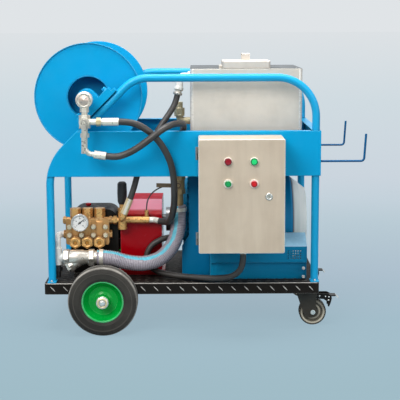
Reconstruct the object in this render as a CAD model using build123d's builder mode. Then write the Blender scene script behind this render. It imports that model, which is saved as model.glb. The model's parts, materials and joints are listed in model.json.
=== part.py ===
"""Electric high-pressure drain cleaning machine on a two-wheeled cart.

Millimetres. +X runs along the cart from the hose reel to the hose hooks, +Y runs away from the control
box side and +Z is up. The origin is on the floor, under the middle of the whole machine.
"near" is the control box side and "far" is the other side.
"""

import os
from math import atan2, cos, degrees, pi, radians, sin, sqrt, tan

from build123d import *

os.makedirs("parts", exist_ok=True)

# Clearances
running = 0.3
seat = 0.3

# Deck, from the middle of the whole machine
deck_x = -69.0
deck_y = 34.0
deck_length = 1000.0
deck_width = 600.0
deck_top = 177.0
deck_lip = 41.0
deck_sheet = 4.0
deck_corner = 12.0
under_deck = deck_top - deck_lip
bearer_width = 50.0
bearer_wall = 3.0
bearer_spread = 430.0
bearer_height = deck_lip - deck_sheet
bearer_length = deck_length - 2 * deck_sheet - 20.0
near_bearer_y = deck_y - bearer_spread / 2
far_bearer_y = deck_y + bearer_spread / 2

# Road wheels and axle
wheel_radius = 125.0
tyre_width = 70.0
rim_radius = 75.5
wheel_track = deck_width + 90.0
axle_radius = 10.0
axle_x = deck_x - deck_length / 2 + 217.0
hub_radius = 24.0
hub_inner = 40.0
hub_outer = 35.0
axle_cap_radius = 21.5
axle_cap_length = 11.0
axle_collar_radius = 16.0
axle_collar_length = 4.0
saddle_length = 48.0
saddle_width = 40.0

# Casters
caster_x = deck_x + deck_length / 2 - 45.0
caster_radius = 50.0
caster_tread = 34.0
caster_trail = 29.0
caster_plate_length = 100.0
caster_plate_width = 84.0
caster_plate_thick = 5.5
kingpin_radius = 6.0
fork_sheet = 3.0
fork_gap = 42.0
fork_crown_radius = 34.0
fork_crown_thick = 6.0
caster_bolt_radius = 5.0
pedal_pin_radius = 3.0
pedal_barrel_radius = 6.0
pedal_width = 34.0
pedal_sheet = 4.0
pedal_length = 100.0

# Tube side frames with the hose hooks
tube_radius = 14.0
tube_wall = 2.5
frame_gauge = deck_width - 50.0
near_y = deck_y - frame_gauge / 2
far_y = deck_y + frame_gauge / 2
left_post_x = deck_x - deck_length / 2 + 27.0
right_post_x = deck_x + deck_length / 2 - 16.0
shoulder_z = deck_top + 434.0
top_rail_x = deck_x - 165.0
top_rail_z = deck_top + 741.0
frame_bends = [190.0, 120.0, 140.0]
foot_length = 70.0
foot_width = 46.0
foot_thick = 5.0
hook_rod = 4.0
hook_z = deck_top + 441.0
hook_reach = 180.0
hook_rise = 98.0
hook_lean = 6.0
hook_bend = 12.0
diagonal = atan2(top_rail_z - shoulder_z, top_rail_x - left_post_x)

# Sheet panels round the frame
panel_sheet = 3.0
panel_bottom = deck_top + 390.0
panel_top = panel_bottom + 162.0
flange_depth = 26.0
panel_inner = frame_gauge / 2 + tube_radius + seat
panel_outer = panel_inner + panel_sheet
end_panel_x = right_post_x + tube_radius + seat
near_panel_y = deck_y - panel_outer
far_panel_y = deck_y + panel_outer

# Hose reel on pillow blocks that stand on the slanted tubes
reel_station = 264.5
block_centre = 43.0
block_base = 165.0
block_width = 38.0
block_foot = 16.0
block_ring = 34.0
bracket_thick = 12.6
bracket_length = 190.0
reel_offset = tube_radius + seat + bracket_thick + block_centre
reel_x = left_post_x + reel_station * cos(diagonal) - reel_offset * sin(diagonal)
reel_z = shoulder_z + reel_station * sin(diagonal) + reel_offset * cos(diagonal)
flange_radius = 195.0
flange_sheet = 3.0
flange_lip = 7.0
reel_width = 426.0
drum_radius = 78.0
drum_wall = 4.0
drum_disc_spread = 300.0
reel_shaft_radius = 15.0
spigot_radius = 11.0

# Swivel head and three-way valve on the reel's near end
swivel_radius = 29.0
swivel_depth = 34.0
swivel_y = near_y - 91.0
swivel_back = swivel_y + swivel_depth / 2 + 8.0
manifold_pipe = 11.0
valve_z = reel_z - 77.0
valve_body_radius = 20.0
branch_end_x = reel_x + 63.0
elbow_end = (reel_x + 31.0, swivel_y, reel_z - 191.0)
elbow_knee = (reel_x, swivel_y, reel_z - 186.5)
elbow_bend = 24.0
lever_length = 108.0
lever_width = 15.0
lever_sheet = 4.0
lever_hub_radius = 11.0
lever_pin_radius = 5.0
lever_standoff = 26.0

# Water tank and its hatch
tank_x0 = deck_x + 33.0
tank_x1 = deck_x + 440.0
tank_y0 = deck_y - 215.0
tank_y1 = deck_y + 185.0
tank_top = deck_top + 770.0
tank_wall = 3.0
tank_corner = 14.0
bar_width = 40.0
bar_height = 20.0
bar_bottom = panel_bottom + panel_sheet
tank_bottom = bar_bottom + bar_height
left_bar_x = deck_x + 54.0
right_bar_x = deck_x + 415.0
column_x0 = deck_x
column_x1 = deck_x + 104.0
column_neck = 26.0
column_neck_z = deck_top + 153.0
column_shoulder_z = deck_top + 113.0
column_spread = 352.0
column_sheet = 8.0
column_flange = 30.0
column_brace = 85.0
lid_length = 175.0
lid_width = 175.0
lid_height = 27.0
lid_wall = 2.5
lid_gap = 0.5
lid_x = deck_x + 237.5
lid_y = tank_y0 + 100.0
collar_height = lid_gap + lid_height - lid_wall - running
collar_wall = 3.0
collar_gap = 4.0
lid_hinge_radius = 5.0
lid_hinge_pin = 2.5
lid_hinge_x = lid_x - lid_length / 2 - lid_hinge_radius - running
lid_hinge_z = tank_top + lid_gap + lid_hinge_radius
handle_width = 28.0
handle_length = 100.0
handle_height = 25.0
handle_sheet = 3.0

# Control box and its door
box_x0 = deck_x + 62.0
box_width = 300.0
box_height = 400.0
box_bottom = deck_top + 138.0
box_depth = 132.0
box_wall = 2.5
box_corner = 6.0
door_thick = 20.0
door_gap = 0.4
box_back = near_panel_y
box_front = box_back - box_depth
door_back = box_front - door_gap
door_front = door_back - door_thick
hinge_radius = 5.0
hinge_pin = 2.5
hinge_x = box_x0 - hinge_radius
hinge_knuckle = 22.0
control_x = box_x0 + 147.0
control_pitch = 90.0
lamp_z = box_bottom + 323.0
button_z = box_bottom + 246.0
bezel_radius = 15.0
bezel_height = 6.0
button_radius = 11.0
button_height = 13.0
button_travel = 4.0
lamp_radius = 11.0
lamp_height = 12.0
lock_x = box_x0 + 244.0
lock_z = box_bottom + 201.0
lock_radius = 11.0
lock_cam = 45.0
gear_plate = 3.0
box_gland_x = box_x0 + 158.0
box_gland_y = box_back - 78.0
gland_radius = 16.0
gland_length = 14.0

# Motor, on its feet on the deck
motor_face_x = deck_x + 5.0
motor_y = deck_y
motor_z = deck_top + 185.0
motor_length = 370.0
motor_body = 150.0
motor_fin_radius = 165.0
motor_fins = 28
motor_fin_thick = 4.0
shield_thick = 15.0
shield_radius = 160.0
stator_bore = 92.0
stator_length = 220.0
winding_bore = 120.0
motor_foot_spread = 2 * motor_body - 20.0
motor_foot_width = 50.0
motor_foot_length = 250.0
motor_foot_height = 50.0
shaft_radius = 19.0
rotor_radius = 90.0
cowl_straight = 35.0
cowl_taper = 62.0
cowl_radius = 168.0
cowl_end_radius = 120.0
cowl_sheet = 2.5
fan_radius = 105.0
fan_blades = 8
motor_gland_y = motor_y - 140.0
motor_gland_z = motor_z - 42.0
motor_gland_reach = 20.0
motor_gland_run = Vector(29, 15, 0).normalized()
motor_gland = Vector(motor_face_x - motor_gland_reach, motor_gland_y, motor_gland_z)

# Sheet skirt in front of the motor
skirt_x0 = column_x1
skirt_length = 355.0
skirt_front = deck_y - 250.0
skirt_back = deck_y - 180.0
skirt_recess = 14.0
skirt_step_z = deck_top + 63.0
skirt_brow_z = deck_top + 123.0
skirt_top_z = deck_top + 163.0
skirt_sheet = 2.5
vent_pitch = 9.0
vent_radius = 2.5
vent_columns = 6
vent_rows = 4

# Reduction gear between motor and pump
coupling_gap = 80.0
coupling_radius = 46.0
gear_case_width = 155.0
gear_case_x1 = motor_face_x - coupling_gap
gear_case_x0 = gear_case_x1 - gear_case_width
gear_case_height = 279.0
gear_case_wall = 12.0
gear_case_slope = 50.0
gear_case_lean = 26.0
gear_base_height = 18.0
gear_base_margin = 10.0
tooth_module = 3.75
pinion_teeth = 16
wheel_teeth = 24
gear_face = 30.0
gear_centres = tooth_module * (pinion_teeth + wheel_teeth) / 2
crank_y = motor_y - gear_centres
crank_z = motor_z
gear_case_front = crank_y - 75.0
gear_case_back = motor_y + 75.0
gear_x = (gear_case_x0 + gear_case_x1) / 2

# Triplex plunger pump
pump_flange = 9.0
pump_flange_radius = 60.0
crankcase_length = 178.0
crankcase_depth = 150.0
crankcase_top = crank_z + 64.0
crankcase_bottom = crank_z - 102.0
crankcase_round = 45.0
crankcase_wall = 10.0
pump_x1 = gear_case_x0 - pump_flange
pump_x0 = pump_x1 - crankcase_length
crankcase_front = crank_y - crankcase_depth / 2
crankcase_back = crank_y + crankcase_depth / 2
plunger_pitch = 44.5
head_width = 160.0
head_depth = 40.0
head_x = (pump_x0 + pump_x1) / 2 - 22.0
head_front = crankcase_front - head_depth
head_bottom = crank_z - 73.0
head_top = crank_z + 34.0
cap_flats = 39.0
cap_boss_radius = 22.0
cap_boss_height = 8.0
cap_height = 14.0
cap_hole_radius = 8.0
lower_cap_z = head_bottom + 21.0
upper_cap_y = head_front + 20.0
upper_cap_height = 32.0
bolt_radius = 8.0
bolt_height = 10.0
bolt_rows = [crank_z + 4.0, crank_z - 27.0]
port_z = crank_z + 26.0
port_y = head_front + 20.0
port_radius = 14.0
inlet_z = crank_z - 27.0
journal_radius = 17.0
throw_radius = 22.0
throw_offset = 11.0
throw_width = 16.0
oil_cap_radius = 10.5
oil_cap_height = 12.0
stand_sheet = 6.0
stand_length = 158.0
stand_foot = 24.0

# Pressure gauge
gauge_x = head_x - 24.0
gauge_z = port_z
gauge_radius = 32.0
gauge_depth = 26.0
gauge_bezel = 3.5
gauge_recess = 6.0
gauge_stem_radius = 8.0
gauge_stem = 18.0
needle_angle = 38.0
needle_length = 22.0
needle_tail = 8.0

# Unloader valve
unloader_x = deck_x - 221.0
unloader_y = port_y
unloader_body_radius = 15.0
unloader_outlet_x = deck_x - 121.0
unloader_top = port_z + 60.0
knob_radius = 18.0
knob_height = 84.0
knob_bore = 6.0

# Pressure switch on the unloader's outlet
switch_x = unloader_outlet_x - 10.0
switch_radius = 7.0
switch_height = 22.0

# Hoses: outer diameters
pressure_hose = 24.0
bypass_hose_d = 22.0
suction_hose_d = 57.0
conduit_d = 22.0
switch_cable_d = 5.0
cable_end = Vector(motor_face_x - 8.0, motor_y - 60.0, motor_z + 118.0)
cable_run = Vector(19.2, 8.7, -11.5).normalized()
ferrule_wall = 2.0
clamp_width = 14.0
clamp_thick = 1.5

# Suction line
tee_radius = 17.0
tee_clear = 1.0
strainer_y = near_y + tube_radius + tee_clear + tee_radius
strainer_z = deck_top + 85.0
strainer_x0 = deck_x - 434.0
strainer_x1 = deck_x - 322.0
strainer_radius = 24.0
strainer_leg = 58.0
suction_tee_x = deck_x - 456.0

# Tank fittings on the tank's left wall
outlet_x = deck_x - 12.0
outlet_y = tank_y0 + 27.0
outlet_z = tank_bottom + 29.0
outlet_pipe = 18.0
outlet_end_z = deck_top + 269.0
outlet_lever_z = deck_top + 346.0
outlet_lever_length = 80.0
relief_knee = Vector(deck_x + 5.0, deck_y - 140.0, tank_bottom + 63.0)
relief_run = Vector(0, -0.6, 0.8)
relief_tip = relief_knee + relief_run * 24
relief_mouth = relief_tip + relief_run * 20
return_z = tank_top - 30.0
return_mouth = Vector(deck_x - 14.0, deck_y - 153.0, tank_top - 97.0)
return_run = Vector(5, 2.2, 22).normalized()
return_tip = return_mouth + return_run * 20
return_knee = return_tip + return_run * 12
supply_x = deck_x - 8.0
supply_y = deck_y - 95.0
supply_z = tank_top - 196.0
supply_end_z = tank_top - 126.0
supply_nipple_radius = 13.0
supply_nipple_length = 22.0


def level(z):
    """Plane at height z, facing up, with X and Y as they are."""
    return Plane.XY.offset(z)


def facing(y):
    """Upright plane at y, facing the near side, with X and Z as its own axes."""
    return Plane.XZ.offset(-y)


def across(x):
    """Upright plane at x, facing +X, with Y and Z as its own axes."""
    return Plane.YZ.offset(x)


def lathe(profile, origin, axis, mode=Mode.ADD):
    """Turn a closed profile of (distance along, radius) points about an axis through origin."""
    along = Vector(*axis).normalized()
    radial = Vector(1, 0, 0) if abs(along.Z) > 0.9 else Vector(0, 0, 1)
    with BuildSketch(Plane(origin=origin, x_dir=along, z_dir=along.cross(radial))) as half:
        with BuildLine():
            Polyline(*profile, close=True)
        make_face()
    revolve(half.sketch, axis=Axis(origin, along), mode=mode)


def rod(start, end, radius, mode=Mode.ADD):
    """Round bar between two points."""
    run = Vector(*end) - Vector(*start)
    with BuildSketch(Plane(origin=start, z_dir=run)) as section:
        Circle(radius)
    extrude(section.sketch, amount=run.length, mode=mode)


def hex_bar(start, end, flats):
    """Hexagon bar between two points, by its width across flats."""
    run = Vector(*end) - Vector(*start)
    with BuildSketch(Plane(origin=start, z_dir=run)) as section:
        RegularPolygon(flats / 2, 6, major_radius=False)
    extrude(section.sketch, amount=run.length)


def block(low, high, mode=Mode.ADD):
    """Square-edged bar or plate between two corners."""
    size = [b - a for a, b in zip(low, high)]
    with Locations(low):
        Box(*size, align=(Align.MIN, Align.MIN, Align.MIN), mode=mode)


def pipe(points, radius, bend):
    """Round pipe along points, with one bend radius."""
    with BuildLine() as route:
        FilletPolyline(*points, radius=bend)
    with BuildSketch(Plane(origin=route.line @ 0, z_dir=route.line % 0)) as section:
        Circle(radius)
    sweep(section.sketch, path=route.line)


def hose_bends(points):
    """The largest bend that the two runs at each inner point allow."""
    bends = []
    for before, here, after in zip(points, points[1:], points[2:]):
        run_in = Vector(*here) - Vector(*before)
        run_out = Vector(*after) - Vector(*here)
        turn = radians(run_in.get_angle(run_out))
        bends.append(0.45 * min(run_in.length, run_out.length) / tan(turn / 2))
    return bends


def lay_hose(points, diameter):
    """Hose along points: straight runs joined by tangent arcs."""
    with BuildLine() as route:
        FilletPolyline(*points, radius=hose_bends(points))
    with BuildSketch(Plane(origin=route.line @ 0, z_dir=route.line % 0)) as section:
        Circle(diameter / 2)
    sweep(section.sketch, path=route.line)
    return sum(edge.length for edge in route.edges())


# Deck tray: checker plate with turned-down lips
with BuildPart() as deck_tray:
    with BuildSketch(level(under_deck)):
        with Locations((deck_x, deck_y)):
            RectangleRounded(deck_length, deck_width, deck_corner)
    extrude(amount=deck_lip)
    fillet(deck_tray.faces().sort_by(Axis.Z)[-1].edges(), deck_sheet - 1)
    with BuildSketch(level(under_deck)):
        with Locations((deck_x, deck_y)):
            RectangleRounded(
                deck_length - 2 * deck_sheet, deck_width - 2 * deck_sheet, deck_corner - deck_sheet
            )
    extrude(amount=bearer_height, mode=Mode.SUBTRACT)
deck_tray.part.label = "deck_tray"
export_step(deck_tray.part, "parts/deck_tray.step")

# Bearers under the deck, with the casters' top plates
with BuildPart() as deck_bearers:
    for bearer_y in (near_bearer_y, far_bearer_y):
        with BuildSketch(across(deck_x - bearer_length / 2)):
            with Locations((bearer_y, under_deck + bearer_height / 2)):
                Rectangle(bearer_width, bearer_height)
                Rectangle(
                    bearer_width - 2 * bearer_wall,
                    bearer_height - 2 * bearer_wall,
                    mode=Mode.SUBTRACT,
                )
        extrude(amount=bearer_length)
        with BuildSketch(level(under_deck - caster_plate_thick)):
            with Locations((caster_x, bearer_y)):
                RectangleRounded(caster_plate_length, caster_plate_width, deck_corner)
                Circle(kingpin_radius + running, mode=Mode.SUBTRACT)
        extrude(amount=caster_plate_thick)
deck_bearers.part.label = "deck_bearers"
export_step(deck_bearers.part, "parts/deck_bearers.step")

# Axle with collars and end caps, in two saddles under the bearers
hub_in_y = wheel_track / 2 - hub_inner - running
hub_out_y = wheel_track / 2 + hub_outer + running
cap_end_y = hub_out_y + axle_cap_length
axle_profile = [
    (0, 0),
    (0, axle_radius),
    (hub_in_y - axle_collar_length, axle_radius),
    (hub_in_y - axle_collar_length, axle_collar_radius),
    (hub_in_y, axle_collar_radius),
    (hub_in_y, axle_radius),
    (hub_out_y, axle_radius),
    (hub_out_y, axle_cap_radius),
    (cap_end_y - 3, axle_cap_radius),
    (cap_end_y, axle_cap_radius - 7),
    (cap_end_y, 0),
]
with BuildPart() as wheel_axle:
    for outward in (-1, 1):
        lathe(axle_profile, (axle_x, deck_y, wheel_radius), (0, outward, 0))
    for bearer_y in (near_bearer_y, far_bearer_y):
        with BuildSketch(facing(bearer_y + saddle_width / 2)):
            with BuildLine():
                Polyline(
                    (axle_x - saddle_length / 2, under_deck),
                    (axle_x + saddle_length / 2, under_deck),
                    (axle_x + 1.8 * axle_radius, wheel_radius - 1.4 * axle_radius),
                    (axle_x - 1.8 * axle_radius, wheel_radius - 1.4 * axle_radius),
                    close=True,
                )
            make_face()
            with Locations((axle_x, wheel_radius)):
                Circle(axle_radius + running / 2, mode=Mode.SUBTRACT)
        extrude(amount=saddle_width)
wheel_axle.part.label = "wheel_axle"
export_step(wheel_axle.part, "parts/wheel_axle.step")

# Road wheels: a tyre with two tread grooves on a dished rim with its hub
tyre_half = tyre_width / 2
tyre_profile = [
    (-tyre_half + 5, rim_radius),
    (-tyre_half, rim_radius + 10),
    (-tyre_half, wheel_radius - 16),
    (-tyre_half + 4, wheel_radius - 5),
    (-tyre_half + 12, wheel_radius),
    (-9, wheel_radius),
    (-8, wheel_radius - 4),
    (-5, wheel_radius - 4),
    (-4, wheel_radius),
    (4, wheel_radius),
    (5, wheel_radius - 4),
    (8, wheel_radius - 4),
    (9, wheel_radius),
    (tyre_half - 12, wheel_radius),
    (tyre_half - 4, wheel_radius - 5),
    (tyre_half, wheel_radius - 16),
    (tyre_half, rim_radius + 10),
    (tyre_half - 5, rim_radius),
]
rim_wall = 4.5
rim_half = tyre_half - 6
rim_profile = [
    (-hub_inner, axle_radius + running),
    (hub_outer, axle_radius + running),
    (hub_outer, hub_radius - 3),
    (hub_outer - 3, hub_radius),
    (6, hub_radius),
    (1, hub_radius + 8),
    (3, rim_radius - 24),
    (13, rim_radius - 14),
    (rim_half - 4, rim_radius - rim_wall - 2),
    (rim_half, rim_radius - rim_wall),
    (rim_half, rim_radius),
    (-rim_half, rim_radius),
    (-rim_half, rim_radius - rim_wall),
    (9, rim_radius - rim_wall),
    (-2, rim_radius - 24),
    (-4, hub_radius + 8),
    (-8, hub_radius),
    (-hub_inner, hub_radius),
]
for side, outward in (("near", -1), ("far", 1)):
    wheel_middle = (axle_x, deck_y + outward * wheel_track / 2, wheel_radius)
    with BuildPart() as tyre:
        lathe(tyre_profile, wheel_middle, (0, outward, 0))
    tyre.part.label = f"{side}_tyre"
    export_step(tyre.part, f"parts/{side}_tyre.step")
    with BuildPart() as rim:
        lathe(rim_profile, wheel_middle, (0, outward, 0))
    rim.part.label = f"{side}_rim"
    export_step(rim.part, f"parts/{side}_rim.step")

# Casters: fork with kingpin, wheel and brake pedal
fork_top = under_deck - caster_plate_thick - running
crown_bottom = fork_top - fork_crown_thick
fork_axle_x = caster_x + caster_trail
pedal_x = caster_x + caster_trail - 3
pedal_z = 2 * caster_radius + 4 + pedal_barrel_radius
caster_profile = [
    (-caster_tread / 2, caster_radius - 3),
    (-caster_tread / 2 + 3, caster_radius),
    (caster_tread / 2 - 3, caster_radius),
    (caster_tread / 2, caster_radius - 3),
    (caster_tread / 2, caster_radius - 14),
    (caster_tread / 2 - 6, caster_radius - 16),
    (caster_tread / 2 - 6, caster_bolt_radius + 10),
    (fork_gap / 2 - running, caster_bolt_radius + 8),
    (fork_gap / 2 - running, caster_bolt_radius + running),
    (-fork_gap / 2 + running, caster_bolt_radius + running),
    (-fork_gap / 2 + running, caster_bolt_radius + 8),
    (-caster_tread / 2 + 6, caster_bolt_radius + 10),
    (-caster_tread / 2 + 6, caster_radius - 16),
    (-caster_tread / 2, caster_radius - 14),
]
for side, caster_y in (("near", near_bearer_y), ("far", far_bearer_y)):
    with BuildPart() as fork:
        with BuildSketch(level(crown_bottom)):
            with Locations((caster_x, caster_y)):
                Circle(fork_crown_radius)
        extrude(amount=fork_crown_thick)
        rod((caster_x, caster_y, crown_bottom), (caster_x, caster_y, under_deck - running), kingpin_radius)
        for leg_y in (caster_y - fork_gap / 2, caster_y + fork_gap / 2 + fork_sheet):
            with BuildSketch(facing(leg_y)):
                with BuildLine():
                    Polyline(
                        (caster_x - fork_crown_radius + 8, crown_bottom),
                        (caster_x + fork_crown_radius - 2, crown_bottom),
                        (fork_axle_x + 14, caster_radius + 12),
                        (fork_axle_x + 9, caster_radius - 11),
                        (fork_axle_x - 9, caster_radius - 11),
                        (fork_axle_x - 15, caster_radius + 8),
                        close=True,
                    )
                make_face()
            extrude(amount=fork_sheet)
        bolt_half = fork_gap / 2 + fork_sheet
        rod(
            (fork_axle_x, caster_y - bolt_half, caster_radius),
            (fork_axle_x, caster_y + bolt_half, caster_radius),
            caster_bolt_radius,
        )
        for head in (-1, 1):
            rod((fork_axle_x, caster_y + head * bolt_half, caster_radius),
                (fork_axle_x, caster_y + head * (bolt_half + 5), caster_radius), caster_bolt_radius + 4)
        rod((pedal_x, caster_y - fork_gap / 2, pedal_z), (pedal_x, caster_y + fork_gap / 2, pedal_z),
            pedal_pin_radius)
    fork.part.label = f"{side}_caster_fork"
    export_step(fork.part, f"parts/{side}_caster_fork.step")

    with BuildPart() as caster_wheel:
        lathe(caster_profile, (fork_axle_x, caster_y, caster_radius), (0, 1, 0))
    caster_wheel.part.label = f"{side}_caster_wheel"
    export_step(caster_wheel.part, f"parts/{side}_caster_wheel.step")

    with BuildPart() as pedal:
        with BuildSketch(facing(caster_y + pedal_width / 2)):
            with Locations((pedal_x, pedal_z)):
                Circle(pedal_barrel_radius)
            with BuildLine():
                Polyline(
                    (pedal_x, pedal_z - pedal_sheet / 2),
                    (pedal_x + pedal_length - 13, pedal_z - pedal_sheet / 2),
                    (pedal_x + pedal_length - 3, pedal_z - 10),
                    (pedal_x + pedal_length, pedal_z - 8),
                    (pedal_x + pedal_length - 11, pedal_z + pedal_sheet / 2),
                    (pedal_x, pedal_z + pedal_sheet / 2),
                    close=True,
                )
            make_face()
            with Locations((pedal_x, pedal_z)):
                Circle(pedal_pin_radius + running, mode=Mode.SUBTRACT)
        extrude(amount=pedal_width)
    pedal.part.label = f"{side}_brake_pedal"
    export_step(pedal.part, f"parts/{side}_brake_pedal.step")

# Bent tube side frames with welded feet and hose hooks
for side, frame_y in (("near", near_y), ("far", far_y)):
    with BuildPart() as side_frame:
        with BuildLine() as frame_run:
            FilletPolyline(
                (left_post_x, frame_y, deck_top),
                (left_post_x, frame_y, shoulder_z),
                (top_rail_x, frame_y, top_rail_z),
                (right_post_x, frame_y, top_rail_z),
                (right_post_x, frame_y, deck_top),
                radius=frame_bends,
            )
        with BuildSketch(Plane(origin=frame_run.line @ 0, z_dir=frame_run.line % 0)):
            Circle(tube_radius)
            Circle(tube_radius - tube_wall, mode=Mode.SUBTRACT)
        sweep(path=frame_run.line)
        with BuildSketch(level(deck_top)):
            with Locations((left_post_x, frame_y), (right_post_x, frame_y)):
                RectangleRounded(
                    min(foot_length, 2 * (deck_x + deck_length / 2 - right_post_x)),
                    foot_width,
                    4,
                )
        extrude(amount=foot_thick)
        pipe(
            [
                (right_post_x, frame_y, hook_z),
                (right_post_x + hook_reach - hook_lean, frame_y, hook_z),
                (right_post_x + hook_reach, frame_y, hook_z + hook_rise),
            ],
            hook_rod,
            hook_bend,
        )
    side_frame.part.label = f"{side}_side_frame"
    export_step(side_frame.part, f"parts/{side}_side_frame.step")

# Side panels: folded sheet whose front end follows the tube
edge_out = tube_radius - 2
bend_centre_x = left_post_x + frame_bends[0]
bend_centre_z = shoulder_z - frame_bends[0] * tan((pi / 2 - diagonal) / 2)
edge_radius = frame_bends[0] + edge_out
edge_start = degrees(diagonal) + 90
edge_end = 180 - degrees(atan2(panel_bottom - bend_centre_z, edge_radius))
edge_top_z = bend_centre_z + edge_radius * sin(radians(edge_start))
edge_top_x = bend_centre_x + edge_radius * cos(radians(edge_start))
panel_top_x = edge_top_x + (panel_top - edge_top_z) / tan(diagonal)
panel_right = end_panel_x + panel_sheet
for side, outward, sheet_y in (("near", -1, near_panel_y + panel_sheet), ("far", 1, far_panel_y)):
    with BuildPart() as side_panel:
        with BuildSketch(facing(sheet_y)):
            with BuildLine():
                bend_turn = edge_end - edge_start
                curve = CenterArc((bend_centre_x, bend_centre_z), edge_radius, edge_start, bend_turn)
                Polyline(
                    curve @ 1,
                    (panel_right, panel_bottom),
                    (panel_right, panel_top),
                    (panel_top_x, panel_top),
                    curve @ 0,
                )
            make_face()
        extrude(amount=panel_sheet)
        inner_y = deck_y + outward * panel_inner
        flange_y = inner_y - outward * flange_depth
        for flange_z, flange_x0 in (
            (panel_bottom, left_post_x + tube_radius + 10),
            (panel_top - panel_sheet, panel_top_x + 3 * tube_radius),
        ):
            block(
                (flange_x0, min(inner_y, flange_y), flange_z),
                (right_post_x - tube_radius - 5, max(inner_y, flange_y), flange_z + panel_sheet),
            )
    side_panel.part.label = f"{side}_side_panel"
    export_step(side_panel.part, f"parts/{side}_side_panel.step")

# End panel between the side panels
with BuildPart() as end_panel:
    with BuildSketch(across(end_panel_x)):
        with Locations((deck_y, (panel_bottom + panel_top) / 2)):
            Rectangle(2 * panel_inner, panel_top - panel_bottom)
    extrude(amount=panel_sheet)
    flange_half = frame_gauge / 2 - tube_radius - 6
    for flange_z in (panel_bottom, panel_top - panel_sheet):
        block(
            (end_panel_x - flange_depth, deck_y - flange_half, flange_z),
            (end_panel_x, deck_y + flange_half, flange_z + panel_sheet),
        )
    for hook_y in (near_y, far_y):
        rod((end_panel_x, hook_y, hook_z), (end_panel_x + panel_sheet, hook_y, hook_z), hook_rod + seat,
            mode=Mode.SUBTRACT)
end_panel.part.label = "end_panel"
export_step(end_panel.part, "parts/end_panel.step")

# Tank supports: two bars on the panels' flanges, with two plate columns under the left bar
with BuildPart() as tank_supports:
    for bar_x in (left_bar_x, right_bar_x):
        block(
            (bar_x - bar_width / 2, deck_y - panel_inner, bar_bottom),
            (bar_x + bar_width / 2, deck_y + panel_inner, tank_bottom),
        )
    for outward in (-1, 1):
        column_out = deck_y + outward * column_spread / 2
        column_in = column_out - outward * column_sheet
        column_back = column_in - outward * column_flange
        with BuildSketch(facing(max(column_out, column_in))):
            with BuildLine():
                Polyline(
                    (column_x0, deck_top),
                    (column_x1, deck_top),
                    (column_x1, bar_bottom),
                    (column_x0 + column_neck, bar_bottom),
                    (column_x0 + column_neck, column_neck_z),
                    (column_x0, column_shoulder_z),
                    close=True,
                )
            make_face()
        extrude(amount=column_sheet)
        block(
            (column_x1 - column_sheet, min(column_in, column_back), bar_bottom - column_brace),
            (column_x1, max(column_in, column_back), bar_bottom),
        )
tank_supports.part.label = "tank_supports"
export_step(tank_supports.part, "parts/tank_supports.step")

# Pillow blocks on flat-bar brackets that lie along the slanted tubes
bracket_low = -block_centre - bracket_thick
with BuildPart() as bearing_blocks:
    for block_y in (near_y, far_y):
        slant = Plane(
            origin=(reel_x, block_y + block_width / 2, reel_z),
            x_dir=(cos(diagonal), 0, sin(diagonal)),
            z_dir=(0, -1, 0),
        )
        with BuildSketch(slant):
            with Locations((0, bracket_low + bracket_thick / 2)):
                Rectangle(bracket_length, bracket_thick)
            with Locations((0, -block_centre + block_foot / 2)):
                Rectangle(block_base, block_foot)
            with BuildLine():
                Polyline(
                    (-block_ring, -block_centre),
                    (block_ring, -block_centre),
                    (block_ring, 0),
                    (-block_ring, 0),
                    close=True,
                )
            make_face()
            Circle(block_ring)
            Circle(reel_shaft_radius + running, mode=Mode.SUBTRACT)
        extrude(amount=block_width)
bearing_blocks.part.label = "bearing_blocks"
export_step(bearing_blocks.part, "parts/bearing_blocks.step")

# Reel flanges with rolled rims
flange_in = reel_width / 2
flange_out = flange_in + flange_sheet
flange_profile = [
    (flange_in, drum_radius),
    (flange_in, flange_radius),
    (flange_in + flange_lip, flange_radius),
    (flange_in + flange_lip, flange_radius - flange_sheet),
    (flange_out, flange_radius - flange_sheet),
    (flange_out, drum_radius),
]
with BuildPart() as reel_flanges:
    for outward in (-1, 1):
        lathe(flange_profile, (reel_x, deck_y, reel_z), (0, outward, 0))
reel_flanges.part.label = "reel_flanges"
export_step(reel_flanges.part, "parts/reel_flanges.step")

# Reel core: drum on two discs on the shaft, whose near end is the swivel's spigot
disc_half = drum_disc_spread / 2
shaft_far = far_y - deck_y + block_width / 2 + 12
shaft_near = deck_y - swivel_back - seat
spigot_end = deck_y - swivel_y - 2
core_profile = [
    (-shaft_far, 0),
    (-shaft_far, reel_shaft_radius),
    (-disc_half - drum_wall, reel_shaft_radius),
    (-disc_half - drum_wall, drum_radius - drum_wall),
    (-flange_out, drum_radius - drum_wall),
    (-flange_out, drum_radius - seat),
    (flange_out, drum_radius - seat),
    (flange_out, drum_radius - drum_wall),
    (disc_half + drum_wall, drum_radius - drum_wall),
    (disc_half + drum_wall, reel_shaft_radius),
    (shaft_near, reel_shaft_radius),
    (shaft_near, spigot_radius),
    (spigot_end, spigot_radius),
    (spigot_end, 0),
]
with BuildPart() as reel_core:
    lathe(core_profile, (reel_x, deck_y, reel_z), (0, -1, 0))
reel_core.part.label = "reel_core"
export_step(reel_core.part, "parts/reel_core.step")

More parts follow.
